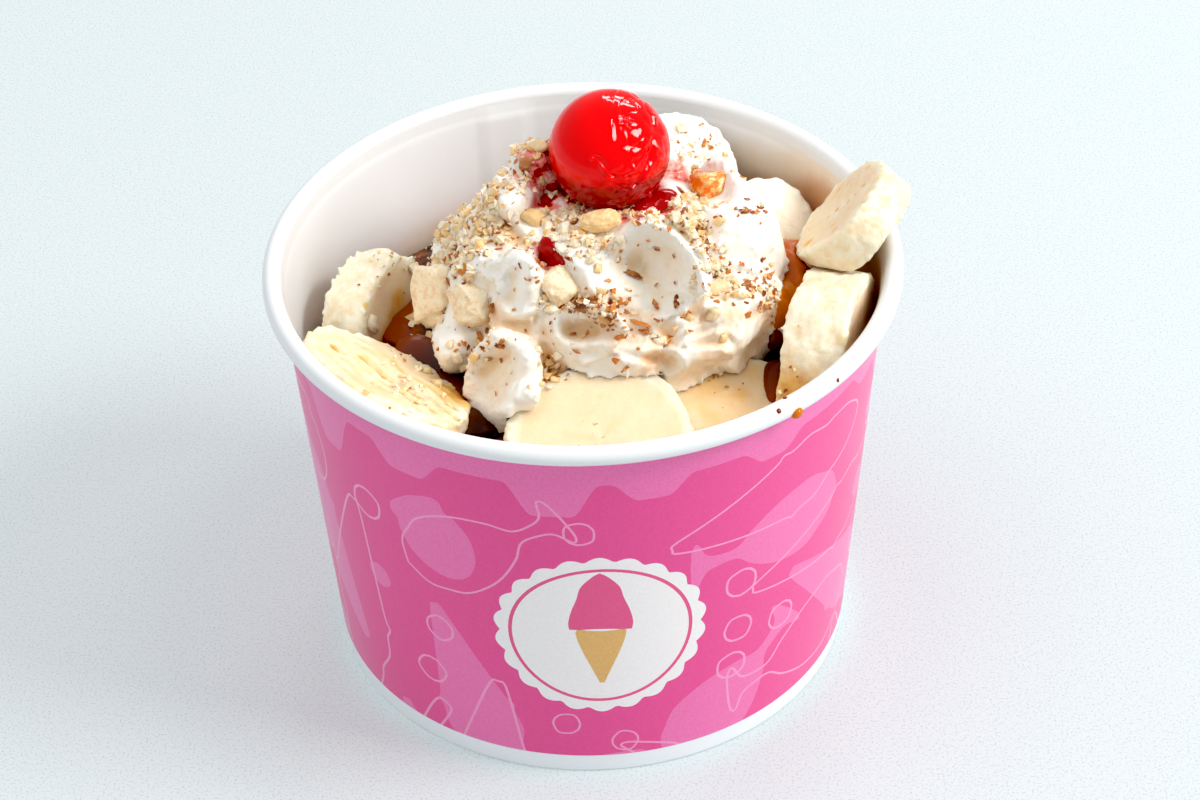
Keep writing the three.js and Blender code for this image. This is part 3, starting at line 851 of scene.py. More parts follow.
def spline(points, between):
    """A smooth curve through points, with so many steps between each pair."""
    ends = np.concatenate([[2 * points[0] - points[1]], points, [2 * points[-1] - points[-2]]])
    curve = []
    for a, b, c, d in zip(ends, ends[1:], ends[2:], ends[3:]):
        bend, twist = 2 * a - 5 * b + 4 * c - d, 3 * b - a - 3 * c + d
        for t in np.arange(between) / between:
            curve.append(0.5 * (2 * b + (c - a) * t + bend * t**2 + twist * t**3))
    return np.array(curve + [points[-1]])


# Stains on the cream: pixel, radius in mm, strength
PINK_STAINS = [
    ((530, 152), 3.4, 0.5), ((540, 172), 3.6, 0.9), ((548, 200), 3.2, 1.0), ((520, 140), 2.4, 0.3),
    ((526, 170), 3, 0.55), ((575, 212), 2.6, 0.4), ((640, 214), 3.4, 0.9), ((660, 205), 3.4, 0.8),
    ((676, 176), 3, 0.7), ((622, 216), 2.6, 0.8), ((600, 214), 3, 0.5), ((545, 248), 2.2, 1.0),
    ((552, 262), 2.2, 1.0), ((538, 262), 1.6, 0.8),
]
# Some of the caramel stains are painted shade: those on the cream's shaded right flank and in the hollow under
# the nuts.
CARAMEL_STAINS_AND_SHADE = [
    ((655, 360), 3.6, 0.75), ((732, 316), 3.4, 0.6), ((640, 330), 4.5, 0.55), ((664, 342), 3, 0.6),
    ((618, 340), 3, 0.5), ((592, 330), 4, 0.5), ((700, 316), 3, 0.45), ((548, 368), 4, 0.9),
    ((538, 340), 4.5, 0.4), ((620, 300), 6, 0.25), ((494, 318), 3.5, 0.7), ((505, 350), 4, 0.3),
    ((470, 380), 6, 0.3), ((500, 392), 5, 0.35), ((770, 372), 5, 0.6), ((750, 352), 5, 0.4),
    ((766, 318), 3.5, 0.5), ((512, 240), 3, 0.6), ((496, 224), 2.6, 0.5), ((716, 346), 4.5, 0.6),
    ((668, 264), 5.5, 0.25), ((690, 372), 4, 0.4), ((725, 290), 4, 0.3), ((560, 300), 4, 0.3),
    ((590, 300), 3, 0.6), ((440, 300), 4, 0.3),
]


def relaxed(points, quads, rounds):
    """The points after they have moved toward their neighbours again and again."""
    starts = np.concatenate([quads[:, a] for a in range(4)] * 2)
    ends = np.concatenate([quads[:, (a + step) % 4] for step in (1, 3) for a in range(4)])
    count = np.bincount(starts, minlength=len(points))[:, None]
    for _ in range(rounds):
        sums = [np.bincount(starts, weights=points[ends, axis], minlength=len(points)) for axis in range(3)]
        points = np.stack(sums, axis=1) / count
    return points


def front_finder(points, quads):
    """A function that gives the place of a surface that the camera sees at a pixel, or one far away."""
    tree = BVHTree.FromPolygons([Vector(p) for p in points], quads.tolist())

    def front_of(pixel):
        place = tree.ray_cast(Vector(CAMERA_AT), sight_line(pixel))[0]
        return np.array(place) if place else np.full(3, 1e3)

    return front_of


def stain_and_shade(points, front_of, spots):
    """How strong the stains, and the painted shade among them, at some pixels are at each point."""
    total = np.zeros(len(points))
    for pixel, radius, strength in spots:
        away = np.linalg.norm(points - front_of(pixel), axis=1)
        total = np.maximum(total, strength * np.exp(-((away / radius) ** 2)))
    return total


def add_cream(cream, material):
    points, outward, quads = meshed(cream.field, CREAM_LOW, CREAM_HIGH, CREAM_STEP)
    ridge = np.clip(((points - relaxed(points, quads, 1)) * outward).sum(axis=1) / 0.08, 0, 1)
    # How deep each point lies in a hollow; the look paints shade there.
    hollow = ((relaxed(points, quads, 60) - points) * outward).sum(axis=1)
    torn = Waves(1.9, 5, 14).at(points) + 0.6 * Waves(1.1, 6, 14).at(points)
    free = points[:, 2] > fill_height(points) + 1.2
    points = points + outward * ((0.02 + 0.15 * ridge) * torn * free)[:, None]
    front_of = front_finder(points, quads)
    cherry_gap = np.linalg.norm(points - np.array(CHERRY_AT), axis=1) - CHERRY_RADIUS
    pink = np.maximum(stain_and_shade(points, front_of, PINK_STAINS), 1 - smoothstep(cherry_gap, 0.4, 2.2))
    # The caramel attribute holds caramel stains and, in places, painted shade.
    values = {"pink": pink, "caramel": stain_and_shade(points, front_of, CARAMEL_STAINS_AND_SHADE), "hollow": hollow}
    return make_piece("cream", points, quads, [material], ["whipped_cream"], values=values)


def cream_look():
    look = Look("whipped_cream")
    white = look.mix(look.noise(0.08, 2), srgb(255, 254, 249), srgb(254, 251, 242))
    # Painted shade: the cream turns tan in its hollows.
    deep = look.times(look.between(look.attribute("hollow"), 0.15, 1.0), 0.6)
    shaded = look.mix(deep, white, srgb(242, 208, 150))
    patches = look.between(look.noise(0.45, 4), 0.35, 0.62)
    # Caramel stains, which in places are painted shade.
    caramel = look.times(look.attribute("caramel"), look.math("ADD", look.times(patches, 0.6), 0.5))
    tan = look.mix(caramel, shaded, srgb(232, 176, 104))
    pink = look.times(look.attribute("pink"), look.math("ADD", patches, 0.35))
    stained_and_shaded = look.mix(look.between(pink, 0.05, 0.6), tan, srgb(246, 150, 140))
    red = look.mix(look.between(pink, 0.62, 0.95), stained_and_shaded, srgb(186, 10, 18))
    low = look.between(look.height(), 67, 61)
    look.set(Base_Color=look.mix(look.times(low, 0.5), red, srgb(222, 180, 120)))
    look.set(Roughness=look.mix(pink, (0.45, 0.45, 0.45, 1), (0.15, 0.15, 0.15, 1)))
    look.set(Subsurface_Weight=0.25, Subsurface_Scale=0.0016, Subsurface_Radius=(1, 0.85, 0.7))
    look.bump(look.noise(0.9, 3), 0.06)
    return look.material


# ------------------------------------------------------------------ caramel filling


def filling_points(rings, sides):
    wall = wall_inner(FILL_EDGE) - SEAM_STEP - GAP
    bottom = BASE_HEIGHT + PAPER + GAP
    outline = [(wall_inner(bottom) - SEAM_STEP - GAP, bottom)]
    for i in range(rings):
        share = 1 - i / rings
        outline.append((wall * share, FILL_EDGE + (FILL_CENTRE - FILL_EDGE) * (1 - share**2)))
    return np.concatenate([turned(outline, sides), [[0, 0, FILL_CENTRE], [0, 0, bottom]]])


def add_filling(material):
    rings, sides = 70, 200
    points = filling_points(rings, sides)
    top = points[:, 2] > FILL_EDGE - 0.1
    level = 0.45 * Waves(8, 11).at(points) + 0.12 * Waves(3, 12).at(points)
    points[top, 2] += level[top]
    middle = len(points) - 2
    faces = ring_faces(rings + 1, sides)
    faces += fan(middle, rings * sides, sides, True) + fan(middle + 1, 0, sides, False)
    return make_piece("caramel", points, faces, [material], ["caramel_filling"])


def caramel_look():
    look = Look("caramel_sauce")
    thin = look.between(look.noise(0.13, 3), 0.42, 0.66)
    look.set(Base_Color=look.mix(thin, srgb(70, 18, 2), srgb(186, 98, 22)))
    look.set(Roughness=0.12, Specular_IOR_Level=0.35)
    look.set(Subsurface_Weight=0.25, Subsurface_Scale=0.004, Subsurface_Radius=(1, 0.4, 0.1))
    look.bump(look.noise(0.3, 2), 0.2)
    return look.material


# ------------------------------------------------------------------ cherry


# Wrinkles that catch the light: pixel, length and width in mm, angle of the long side in the view
CHERRY_GLINTS = [
    ((614, 134), (5.4, 1.5), 88), ((625, 118), (3.4, 1.0), 5), ((649, 166), (5.6, 1.9), 78),
    ((655, 120), (2.8, 1.5), 60), ((656, 144), (2.4, 1.5), -60), ((603, 166), (3.8, 1.0), 120),
    ((611, 177), (2.2, 0.9), 0), ((619, 187), (2, 0.8), -40), ((627, 178), (1.4, 0.7), 0),
    ((634, 187), (1.7, 0.8), 40), ((651, 193), (1.6, 0.7), 40), ((634, 166), (2.1, 0.7), 88),
    ((593, 158), (1.1, 0.7), 20), ((573, 195), (1.2, 0.7), 0), ((644, 146), (0.9, 0.7), 0),
    ((640, 130), (1.4, 0.6), 70),
]


def glint_relief(ball):
    """Small tilts of the cherry's surface that turn each glint's place to the window, in millimetres."""
    light = aim(WINDOW_WAY)[:, 2]
    turn = np.array(camera_turn().to_matrix())
    total = np.zeros(len(ball))
    for pixel, (long, wide), angle in CHERRY_GLINTS:
        way = np.array(sight_line(pixel))
        start = np.array(CAMERA_AT) - CHERRY_AT
        along = -(start @ way)
        inside = CHERRY_RADIUS**2 - (start @ start - along**2)
        if inside < 0:
            continue
        centre = (start + way * (along - math.sqrt(inside))) / CHERRY_RADIUS
        half = (light - way) / np.linalg.norm(light - way)
        tilt = half / (half @ centre) - centre
        lengthwise = turn @ (math.cos(math.radians(angle)), math.sin(math.radians(angle)), 0)
        lengthwise -= centre * (lengthwise @ centre)
        lengthwise /= np.linalg.norm(lengthwise)
        across = np.cross(centre, lengthwise)
        offset = (ball - centre) * CHERRY_RADIUS
        share = ((offset @ lengthwise) / (long / 2)) ** 2 + ((offset @ across) / (wide / 2)) ** 2
        near = np.exp(-(share**2))
        total -= (offset @ tilt) * near * (np.linalg.norm(offset, axis=1) < 2 * long)
    return total


def add_cherry(material):
    rings, sides = 190, 280
    polar = np.pi * np.arange(1, rings) / rings
    ball = turned([(math.sin(p), math.cos(p)) for p in polar], sides)
    ball = np.concatenate([ball, [[0, 0, 1], [0, 0, -1]]])
    side = smoothstep(ball[:, 0] + 0.12 * Waves(1.2, 24).at(ball), -0.05, 0.25)
    folds = ridges(Waves(0.95, 21, 10).at(ball), 2)
    small = ridges(Waves(0.42, 23, 12).at(ball), 2)
    relief = -side * (0.03 * folds + 0.012 * small) + 0.005 * Waves(1.4, 22).at(ball)
    relief += glint_relief(ball) / CHERRY_RADIUS
    points = ball * (CHERRY_RADIUS * (1 + relief))[:, None] + np.array(CHERRY_AT)
    top = len(points) - 2
    faces = [f[::-1] for f in ring_faces(rings - 1, sides)]
    faces += fan(top, 0, sides, True) + fan(top + 1, (rings - 2) * sides, sides, False)
    return make_piece("candied_cherry", points, faces, [material], ["cherry"])


def cherry_look():
    look = Look("candied_cherry")
    # Painted shade: the lower half of the cherry is a darker red than the top.
    uneven = look.math("ADD", look.height(), look.math("MULTIPLY", look.noise(0.3, 2), 2))
    red = look.mix(look.between(uneven, 98.5, 101.5), srgb(176, 0, 4), srgb(246, 0, 6))
    look.set(Base_Color=red, Roughness=0.05, IOR=1.5)
    look.set(Subsurface_Weight=0.3, Subsurface_Scale=0.004, Subsurface_Radius=(1, 0.03, 0.03))
    return look.material


# ------------------------------------------------------------------ chopped nuts


def broken_lump(seed, corners=14, cuts=0, boxy=0.0):
    """A many-sided lump about 2 across, with sharp edges where it broke. Gives points and triangles."""
    draw = np.random.RandomState(seed)
    spots = unit(draw.normal(size=(corners, 3)))
    cubed = spots / np.abs(spots).max(axis=1)[:, None]
    spots = spots * (1 - boxy) + cubed * boxy
    spots *= draw.uniform(0.8, 1.1, (corners, 1))
    mesh = bmesh.new()
    for spot in spots:
        mesh.verts.new(spot)
    hull = bmesh.ops.convex_hull(mesh, input=mesh.verts)
    loose = {v for v in hull["geom_interior"] + hull["geom_unused"] if isinstance(v, bmesh.types.BMVert)}
    bmesh.ops.delete(mesh, geom=list(loose), context="VERTS")
    if cuts:
        bmesh.ops.subdivide_edges(mesh, edges=mesh.edges, cuts=cuts, use_grid_fill=True)
    bmesh.ops.triangulate(mesh, faces=mesh.faces)
    mesh.verts.index_update()
    points = np.array([v.co for v in mesh.verts])
    faces = np.array([[v.index for v in f.verts] for f in mesh.faces])
    mesh.free()
    if cuts:
        rough = 0.05 * Waves(0.8, seed).at(points) + 0.035 * Waves(0.34, seed + 1).at(points)
        points = points * (1 + rough)[:, None]
    low, high = points.min(axis=0), points.max(axis=0)
    return (points - (low + high) / 2) / ((high - low) / 2), faces


def skin_flake(seed):
    """A thin curled scrap of nut skin, about 2 long."""
    draw = np.random.RandomState(seed)
    sides = 14
    angle = np.arange(sides) * 2 * math.pi / sides
    reach = draw.uniform(0.45, 1.0, sides)
    outer = np.stack([reach * np.cos(angle), reach * np.sin(angle), np.zeros(sides)], 1)
    inner = outer * 0.55
    curl = draw.uniform(0.15, 0.5)
    layers = []
    for lift in (0.09, -0.09):
        layers += [outer * 0.96 + (0, 0, lift * 0.5), inner + (0, 0, lift), np.array([[0, 0, lift]])]
    points = np.concatenate(layers)
    x, y = points[:, 0], points[:, 1]
    points[:, 2] += curl * y**2 + 0.15 * curl * x**2 + 0.06 * Waves(0.9, seed).at(points)
    faces = []
    below = 2 * sides + 1
    for start in (0, below):
        for j in range(sides):
            k = (j + 1) % sides
            rim, ring = (start + j, start + k), (start + sides + j, start + sides + k)
            made = [(*rim, ring[1]), (rim[0], *ring[::-1]), (*ring, start + 2 * sides)]
            faces += [f[::-1] for f in made] if start else made
    for j in range(sides):
        k = (j + 1) % sides
        faces += [(j, below + j, below + k), (j, below + k, k)]
    return points, np.array(faces)


class Heap:
    """Collects copies of shapes and makes one piece of them."""

    def __init__(self):
        self.points, self.faces, self.tones, self.count = [], [], [], 0

    def add(self, shape, at, turn, size, tone):
        points, faces = shape
        self.points.append(points * (np.array(size) / 2) @ turn.T + at)
        self.faces.append(faces + self.count)
        self.tones.append(np.full(len(points), tone))
        self.count += len(points)

    def piece(self, name, material, slot, replaced=()):
        points, faces, tones = (np.concatenate(parts) for parts in (self.points, self.faces, self.tones))
        return make_piece(name, points, faces, [material], replaced, values={"tone": tones})


class Ground:
    """What small pieces land on: the surface of the pieces made before them."""

    def __init__(self, pieces):
        points, faces, count = [], [], 0
        self.owners = []
        for piece in pieces:
            points += [v.co.copy() for v in piece.data.vertices]
            faces += [[i + count for i in p.vertices] for p in piece.data.polygons]
            self.owners += [piece.name] * len(piece.data.polygons)
            count = len(points)
        self.tree = BVHTree.FromPolygons(points, faces)

    def cast(self, start, direction):
        """Place and outward direction in millimetres, and the piece's name, or None where nothing is met."""
        hit = self.tree.ray_cast(Vector(start) * MM, Vector(direction))
        if hit[0] is None:
            return None
        normal = hit[1] if hit[1].dot(Vector(direction)) < 0 else -hit[1]
        return np.array(hit[0]) / MM, np.array(normal), self.owners[hit[2]]

    def seen_at(self, pixel):
        return self.cast(CAMERA_AT, sight_line(pixel))


def lie_flat(normal, image_angle, draw, tilt):
    """A turn that lays local +Z about along a surface's direction, and local +X at an angle of the view or
    at random."""
    up = unit(normal + draw.normal(size=3) * tilt)
    if image_angle is None:
        along = draw.normal(size=3)
    else:
        angle = math.radians(image_angle)
        along = np.array(camera_turn() @ Vector((math.cos(angle), math.sin(angle), 0)))
    along = unit(along - up * (along @ up))
    return np.stack([along, np.cross(up, along), up], axis=1)


# Pieces of nut that stand out: pixel, width and height in pixels, angle in degrees, tone from pale to brown
NUT_PIECES = [
    ((539, 149), (22, 18), 10, 0.35), ((527, 163), (16, 12), 0, 0.9), ((549, 193), (16, 14), -50, 0.3),
    ((542, 180), (7, 11), 0, 0.4), ((534, 218), (26, 28), 20, 0.5), ((548, 227), (10, 24), 5, 0.1),
    ((566, 232), (16, 18), 0, 0.1), ((444, 236), (9, 9), 0, 0.8), ((458, 229), (13, 9), 30, 0.3),
    ((471, 258), (12, 9), 20, 0.3), ((501, 175), (8, 7), 0, 0.5), ((574, 215), (12, 9), 0, 0.2),
    ((695, 168), (9, 7), 20, 0.7), ((694, 208), (16, 14), 0, 0.15), ((700, 218), (12, 10), 0, 0.2),
    ((720, 222), (17, 9), 5, 0.4), ((714, 266), (20, 12), 0, 0.15), ((715, 290), (34, 18), 8, 0.3),
    ((550, 308), (22, 15), -35, 0.12), ((598, 268), (9, 10), 0, 0.4), ((538, 350), (10, 9), 0, 0.15),
    ((555, 380), (10, 7), 10, 0.5), ((457, 357), (18, 14), -40, 0.1), ((466, 366), (14, 10), 0, 0.15),
    ((474, 357), (11, 15), 0, 0.45), ((450, 345), (9, 9), 0, 0.2), ((660, 342), (15, 10), 0, 0.15),
    ((714, 317), (20, 16), 0, 0.25), ((723, 337), (9, 9), 0, 0.4), ((548, 362), (14, 10), 0, 0.6),
    ((606, 318), (16, 11), -20, 0.75), ((438, 262), (10, 9), 0, 0.4), ((448, 270), (9, 8), 40, 0.25),
    ((640, 205), (9, 7), 0, 0.3), ((668, 196), (9, 8), 0, 0.35), ((588, 238), (12, 9), 0, 0.15),
    ((575, 245), (13, 10), 30, 0.2), ((592, 252), (10, 8), 0, 0.1), ((508, 228), (10, 8), 0, 0.4),
    ((497, 240), (9, 7), 20, 0.5), ((412, 268), (16, 20), 60, 0.2), ((420, 245), (34, 10), 8, 0.35),
    ((427, 372), (12, 9), 0, 0.3), ((433, 352), (14, 16), 0, 0.35), ((436, 384), (12, 10), 0, 0.4),
    ((427, 352), (10, 8), 0, 0.5), ((470, 429), (14, 8), 10, 0.5), ((456, 419), (9, 6), 0, 0.4),
    ((449, 406), (9, 6), 20, 0.35), ((442, 320), (10, 12), 0, 0.2), ((690, 318), (11, 9), 0, 0.4),
    ((622, 240), (8, 6), 0, 0.2), ((610, 246), (9, 7), 0, 0.15), ((600, 292), (8, 12), 70, 0.6),
    ((432, 346), (17, 42), 0, 0.35), ((414, 319), (30, 13), 0, 0.45), ((415, 340), (20, 11), 10, 0.5),
    ((421, 357), (11, 22), 0, 0.75), ((371, 324), (26, 16), -25, 0.0),
]
SKIN_FLAKES = [
    ((631, 274), (32, 9), -18, 0.85), ((619, 259), (9, 4), 65, 0.4), ((655, 304), (17, 6), -60, 0.6),
    ((678, 302), (12, 16), 0, 0.95), ((686, 316), (14, 12), 20, 0.6), ((607, 317), (18, 12), 0, 0.6),
    ((580, 307), (22, 10), -12, 1.0), ((597, 299), (8, 16), 0, 0.6), ((570, 259), (17, 6), -28, 1.0),
    ((641, 325), (28, 8), -25, 0.35), ((647, 333), (18, 6), -8, 0.6), ((619, 337), (14, 7), 25, 0.4),
    ((616, 360), (13, 9), 35, 0.35), ((625, 368), (17, 6), 25, 0.8), ((668, 345), (15, 5), 35, 0.6),
    ((639, 349), (5, 4), 0, 0.4), ((608, 281), (10, 4), -3, 0.4), ((657, 285), (9, 4), 8, 0.4),
    ((676, 283), (4, 7), 20, 0.7), ((696, 267), (7, 5), 40, 0.35), ((707, 255), (19, 5), -18, 0.6),
    ((715, 248), (5, 10), -10, 0.5), ((699, 230), (15, 10), 0, 0.95), ((665, 209), (17, 11), 0, 0.9),
    ((744, 212), (13, 4), -5, 0.95), ((752, 213), (6, 5), 0, 0.9), ((766, 213), (4, 10), 0, 0.7),
    ((747, 200), (10, 4), 30, 0.8), ((748, 285), (18, 9), 20, 0.7), ((768, 277), (8, 9), 0, 0.5),
    ((747, 314), (12, 11), -30, 0.4), ((766, 306), (7, 17), -15, 0.6), ((777, 293), (6, 5), 0, 0.4),
    ((713, 318), (6, 6), 0, 0.6), ((723, 337), (5, 10), 10, 0.5), ((463, 268), (12, 22), 0, 0.3),
    ((481, 337), (7, 17), 10, 0.45), ((488, 331), (6, 8), 0, 0.95), ((499, 345), (13, 7), 10, 0.9),
    ((475, 324), (7, 4), 0, 0.9), ((493, 309), (6, 16), 0, 0.7), ((502, 360), (4, 7), 15, 0.6),
    ((490, 358), (6, 6), 0, 0.5), ((497, 394), (3, 8), 15, 0.4), ((514, 310), (5, 5), 0, 0.4),
    ((526, 331), (3, 6), 10, 0.7), ((552, 323), (6, 4), 10, 1.0), ((552, 331), (5, 4), 20, 1.0),
    ((465, 343), (4, 5), 30, 0.7), ((573, 335), (8, 5), 20, 0.7), ((577, 351), (11, 6), -5, 0.45),
    ((682, 130), (13, 5), 10, 0.55), ((711, 148), (8, 6), 40, 0.6), ((696, 158), (4, 6), 0, 0.4),
    ((487, 251), (4, 5), 0, 0.8), ((482, 222), (6, 7), 0, 0.95), ((487, 187), (7, 9), 0, 0.6),
    ((498, 199), (9, 6), 50, 1.0), ((574, 223), (10, 6), 0, 0.95), ((540, 258), (14, 7), 0, 1.0),
    ((465, 284), (10, 5), 40, 1.0), ((470, 286), (8, 8), 0, 0.7), ((548, 366), (14, 6), 10, 0.8),
    ((657, 248), (9, 5), 0, 0.6), ((675, 256), (6, 6), 0, 0.45), ((648, 240), (5, 3), 0, 0.4),
    ((760, 224), (4, 4), 0, 0.4), ((715, 277), (14, 3), 12, 0.9), ((690, 330), (9, 4), -30, 0.5),
    ((727, 388), (5, 4), 0, 0.6), ((560, 303), (14, 5), -10, 0.8), ((588, 300), (9, 5), 40, 0.8),
]

# Where fine crumbs lie: pixel, spread in pixels across and up, number, share that is brown skin, size in mm
CRUMB_DRIFTS = [
    ((478, 198), (11, 20), 170, 0.15, 1.5), ((456, 236), (17, 13), 230, 0.15, 1.7),
    ((484, 230), (11, 16), 120, 0.2, 1.3), ((450, 262), (14, 11), 110, 0.25, 1.4),
    ((512, 178), (11, 14), 90, 0.25, 1.2), ((530, 150), (12, 8), 30, 0.3, 1.2),
    ((572, 226), (13, 17), 260, 0.06, 1.4), ((600, 246), (13, 6), 80, 0.1, 1.2),
    ((642, 214), (13, 4), 50, 0.15, 1.2), ((664, 221), (15, 5), 60, 0.25, 1.2),
    ((692, 208), (11, 9), 120, 0.1, 1.4), ((700, 232), (9, 9), 90, 0.5, 1.2),
    ((712, 250), (8, 7), 40, 0.4, 1.1), ((716, 268), (13, 5), 60, 0.2, 1.2),
    ((724, 286), (15, 6), 80, 0.3, 1.2), ((752, 288), (15, 9), 80, 0.5, 1.1),
    ((770, 300), (7, 13), 60, 0.6, 1.1), ((742, 210), (15, 3), 26, 0.7, 1.1),
    ((586, 302), (17, 5), 120, 0.7, 1.2), ((606, 314), (11, 7), 90, 0.6, 1.3),
    ((560, 306), (13, 5), 50, 0.2, 1.1), ((548, 300), (8, 9), 40, 0.3, 1.1),
    ((640, 328), (20, 6), 36, 0.6, 1.1), ((488, 346), (12, 7), 36, 0.6, 1.2),
    ((550, 368), (7, 9), 50, 0.5, 1.3), ((460, 340), (13, 18), 24, 0.5, 0.8),
    ((640, 290), (55, 26), 26, 0.7, 0.7), ((560, 345), (28, 11), 16, 0.6, 0.8),
    ((500, 372), (18, 14), 12, 0.7, 0.7), ((414, 392), (18, 15), 36, 0.05, 1.0),
    ((408, 362), (12, 18), 50, 0.05, 1.1), ((388, 272), (9, 13), 22, 0.6, 0.8),
    ((696, 142), (14, 14), 26, 0.6, 1.0), ((536, 262), (9, 8), 40, 0.7, 1.0),
    ((508, 236), (12, 14), 50, 0.5, 1.2), ((474, 300), (10, 12), 30, 0.4, 1.0),
    ((425, 300), (12, 20), 20, 0.5, 0.8), ((786, 385), (8, 20), 14, 0.6, 0.8),
    ((720, 384), (14, 6), 10, 0.7, 0.8),
]
# The same on the side that the camera doesn't see, placed from above: x, y in mm
TOP_DRIFTS = [
    ((6, 22), (13, 7), 160, 0.25, 1.4), ((22, 16), (9, 7), 90, 0.3, 1.3),
    ((-13, 15), (8, 9), 200, 0.2, 1.5), ((5, 33), (14, 6), 90, 0.25, 1.4),
]
FINEST_CRUMB = 0.45
CRUMB_GROWTH = 1.25
CRUMB_SHARE = 0.7
EXTRA_SKIN = 0.05                    # added to each share that is brown skin
DROP_HEIGHT = 140                    # from which the unseen crumbs fall
BARE = ("candied_cherry", "paper_cup")    # nothing comes to lie on these
LUMP_SEED, FLAKE_SEED, GRAIN_SEED, CHUNK_SEED, SCATTER_SEED = 200, 300, 400, 500, 31
LUMPS, FLAKES, GRAINS = 9, 9, 14     # how many different shapes there are of each


def picked(shapes, share):
    """One of the shapes, by a share from 0 to 1 of the way through them."""
    return shapes[int(share * (len(shapes) - 0.01))]


def landed_crumbs(ground, draw):
    """Where the crumbs of all drifts land, each with its drift's share of skin and size."""
    landed = []
    for pixel, spread, number, brown, coarse in CRUMB_DRIFTS:
        for _ in range(int(number * CRUMB_SHARE)):
            landed.append((ground.seen_at(draw.normal(pixel, spread)), brown, coarse))
    for centre, spread, number, brown, coarse in TOP_DRIFTS:
        for _ in range(int(number * CRUMB_SHARE)):
            start = (*draw.normal(centre, spread), DROP_HEIGHT)
            landed.append((ground.cast(start, (0, 0, -1)), brown, coarse))
    return landed


def add_nuts(ground, nut, grain, skin):
    lumps = [broken_lump(LUMP_SEED + i, 16, 2, 0.35) for i in range(LUMPS)]
    flakes = [skin_flake(FLAKE_SEED + i) for i in range(FLAKES)]
    grains = [broken_lump(GRAIN_SEED + i, 9) for i in range(GRAINS)]
    draw = np.random.RandomState(SCATTER_SEED)
    pieces, scraps, crumbs = Heap(), Heap(), Heap()
    for i, (pixel, (wide, high), angle, tone) in enumerate(NUT_PIECES):
        hit = ground.seen_at(pixel)
        if hit and hit[2] not in BARE:
            size = np.array([wide, high, min(wide, high) * 0.75]) / PIXELS_PER_MM
            turn = lie_flat(hit[1], angle, draw, 0.12)
            pieces.add(lumps[i % LUMPS], hit[0] + hit[1] * size[2] * 0.2, turn, size, tone)
    for i, (pixel, (wide, high), angle, tone) in enumerate(SKIN_FLAKES):
        hit = ground.seen_at(pixel)
        if hit and hit[2] not in BARE:
            size = np.array([wide, high, min(wide, high, 8)]) * 1.1 / PIXELS_PER_MM
            turn = lie_flat(hit[1], angle, draw, 0.15)
            scraps.add(flakes[i % FLAKES], hit[0] + hit[1] * 0.25, turn, size, tone)
    for hit, brown, coarse in landed_crumbs(ground, draw):
        kind, size, tone = draw.uniform(), draw.uniform() ** 1.5, draw.uniform()
        if hit is None or hit[2] in BARE:
            continue
        across = FINEST_CRUMB + (coarse * CRUMB_GROWTH - FINEST_CRUMB) * size
        turn = lie_flat(hit[1], None, draw, 0.5)
        if kind < brown + EXTRA_SKIN:
            size = (across * draw.uniform(0.8, 1.9), across * 0.9, across)
            scraps.add(picked(flakes, tone), hit[0] + hit[1] * 0.12, turn, size, 0.1 + 0.9 * tone)
        else:
            size = across * draw.uniform(0.75, 1.35, 3)
            crumbs.add(picked(grains, tone), hit[0] + hit[1] * across * 0.2, turn, size, 0.6 * tone**2)
    pieces.piece("nut_pieces", nut, "nut")
    scraps.piece("nut_skins", skin, "nut")
    flat = crumbs.piece("nut_crumbs", grain, "nut").data.polygons
    flat.foreach_set("use_smooth", [False] * len(flat))


def add_chunks(nut, glaze):
    for number, (name, (at, size, look, spin)) in enumerate(CHUNKS.items()):
        heap = Heap()
        boxy = {"nut_chunk_square": 0.85, "nut_slab": 0.85, "nut_whole": 0}.get(name, 0.4)
        corners, tone = (220, 0.42) if name == "nut_whole" else (26, 0.2)
        lump = broken_lump(CHUNK_SEED + number, corners, 5, boxy)
        heap.add(lump, np.array(at), aim(look, spin), size, tone)
        material, slot = (glaze, "glazed_nut") if name == "nut_glazed" else (nut, "nut")
        heap.piece(name.replace("nut", "topping"), material, slot, [name])


def nut_look(name, glow):
    """Pale nut flesh. The glow is how far light spreads inside, in metres, below a piece's own size."""
    look = Look(name)
    tone = look.attribute("tone")
    pale = look.mix(look.between(tone, 0.05, 0.5), srgb(255, 243, 222), srgb(250, 216, 164))
    brown = look.mix(look.between(tone, 0.55, 0.95), pale, srgb(188, 122, 74))
    grain = look.between(look.noise(0.9, 5, roughness=0.7), 0.45, 0.65)
    look.set(Base_Color=look.mix(look.times(grain, 0.5), brown, srgb(236, 186, 120)), Roughness=0.42)
    look.set(Subsurface_Weight=0.4, Subsurface_Scale=glow, Subsurface_Radius=(1, 0.8, 0.5))
    look.bump(look.noise(1.6, 4), 0.2)
    return look.material


def skin_look():
    look = Look("nut_skin")
    tone = look.attribute("tone")
    colour = look.mix(look.between(tone, 0.2, 1.0), srgb(226, 140, 62), srgb(116, 44, 20))
    patches = look.times(look.between(look.noise(1.0, 4, roughness=0.7), 0.42, 0.62), 0.7)
    mottled = look.mix(patches, colour, srgb(228, 164, 98))
    look.set(Base_Color=mottled, Roughness=0.4, Subsurface_Weight=0.2, Subsurface_Scale=0.001)
    look.bump(look.noise(2.2, 3), 0.12)
    return look.material


def glaze_look():
    look = Look("glazed_nut")
    frost = look.between(look.noise(0.7, 4), 0.45, 0.62)
    look.set(Base_Color=look.mix(frost, srgb(250, 138, 16), srgb(250, 204, 140)), Roughness=0.18)
    look.set(Subsurface_Weight=0.7, Subsurface_Scale=0.004, Subsurface_Radius=(1, 0.5, 0.12), Coat_Weight=0.8)
    look.bump(look.noise(0.6, 4), 0.35)
    return look.material


# ------------------------------------------------------------------ sauce and syrup on the food

SAUCE_STEP = 0.3
SUNK = 1.2                           # how far a deep pool reaches into the filling below it
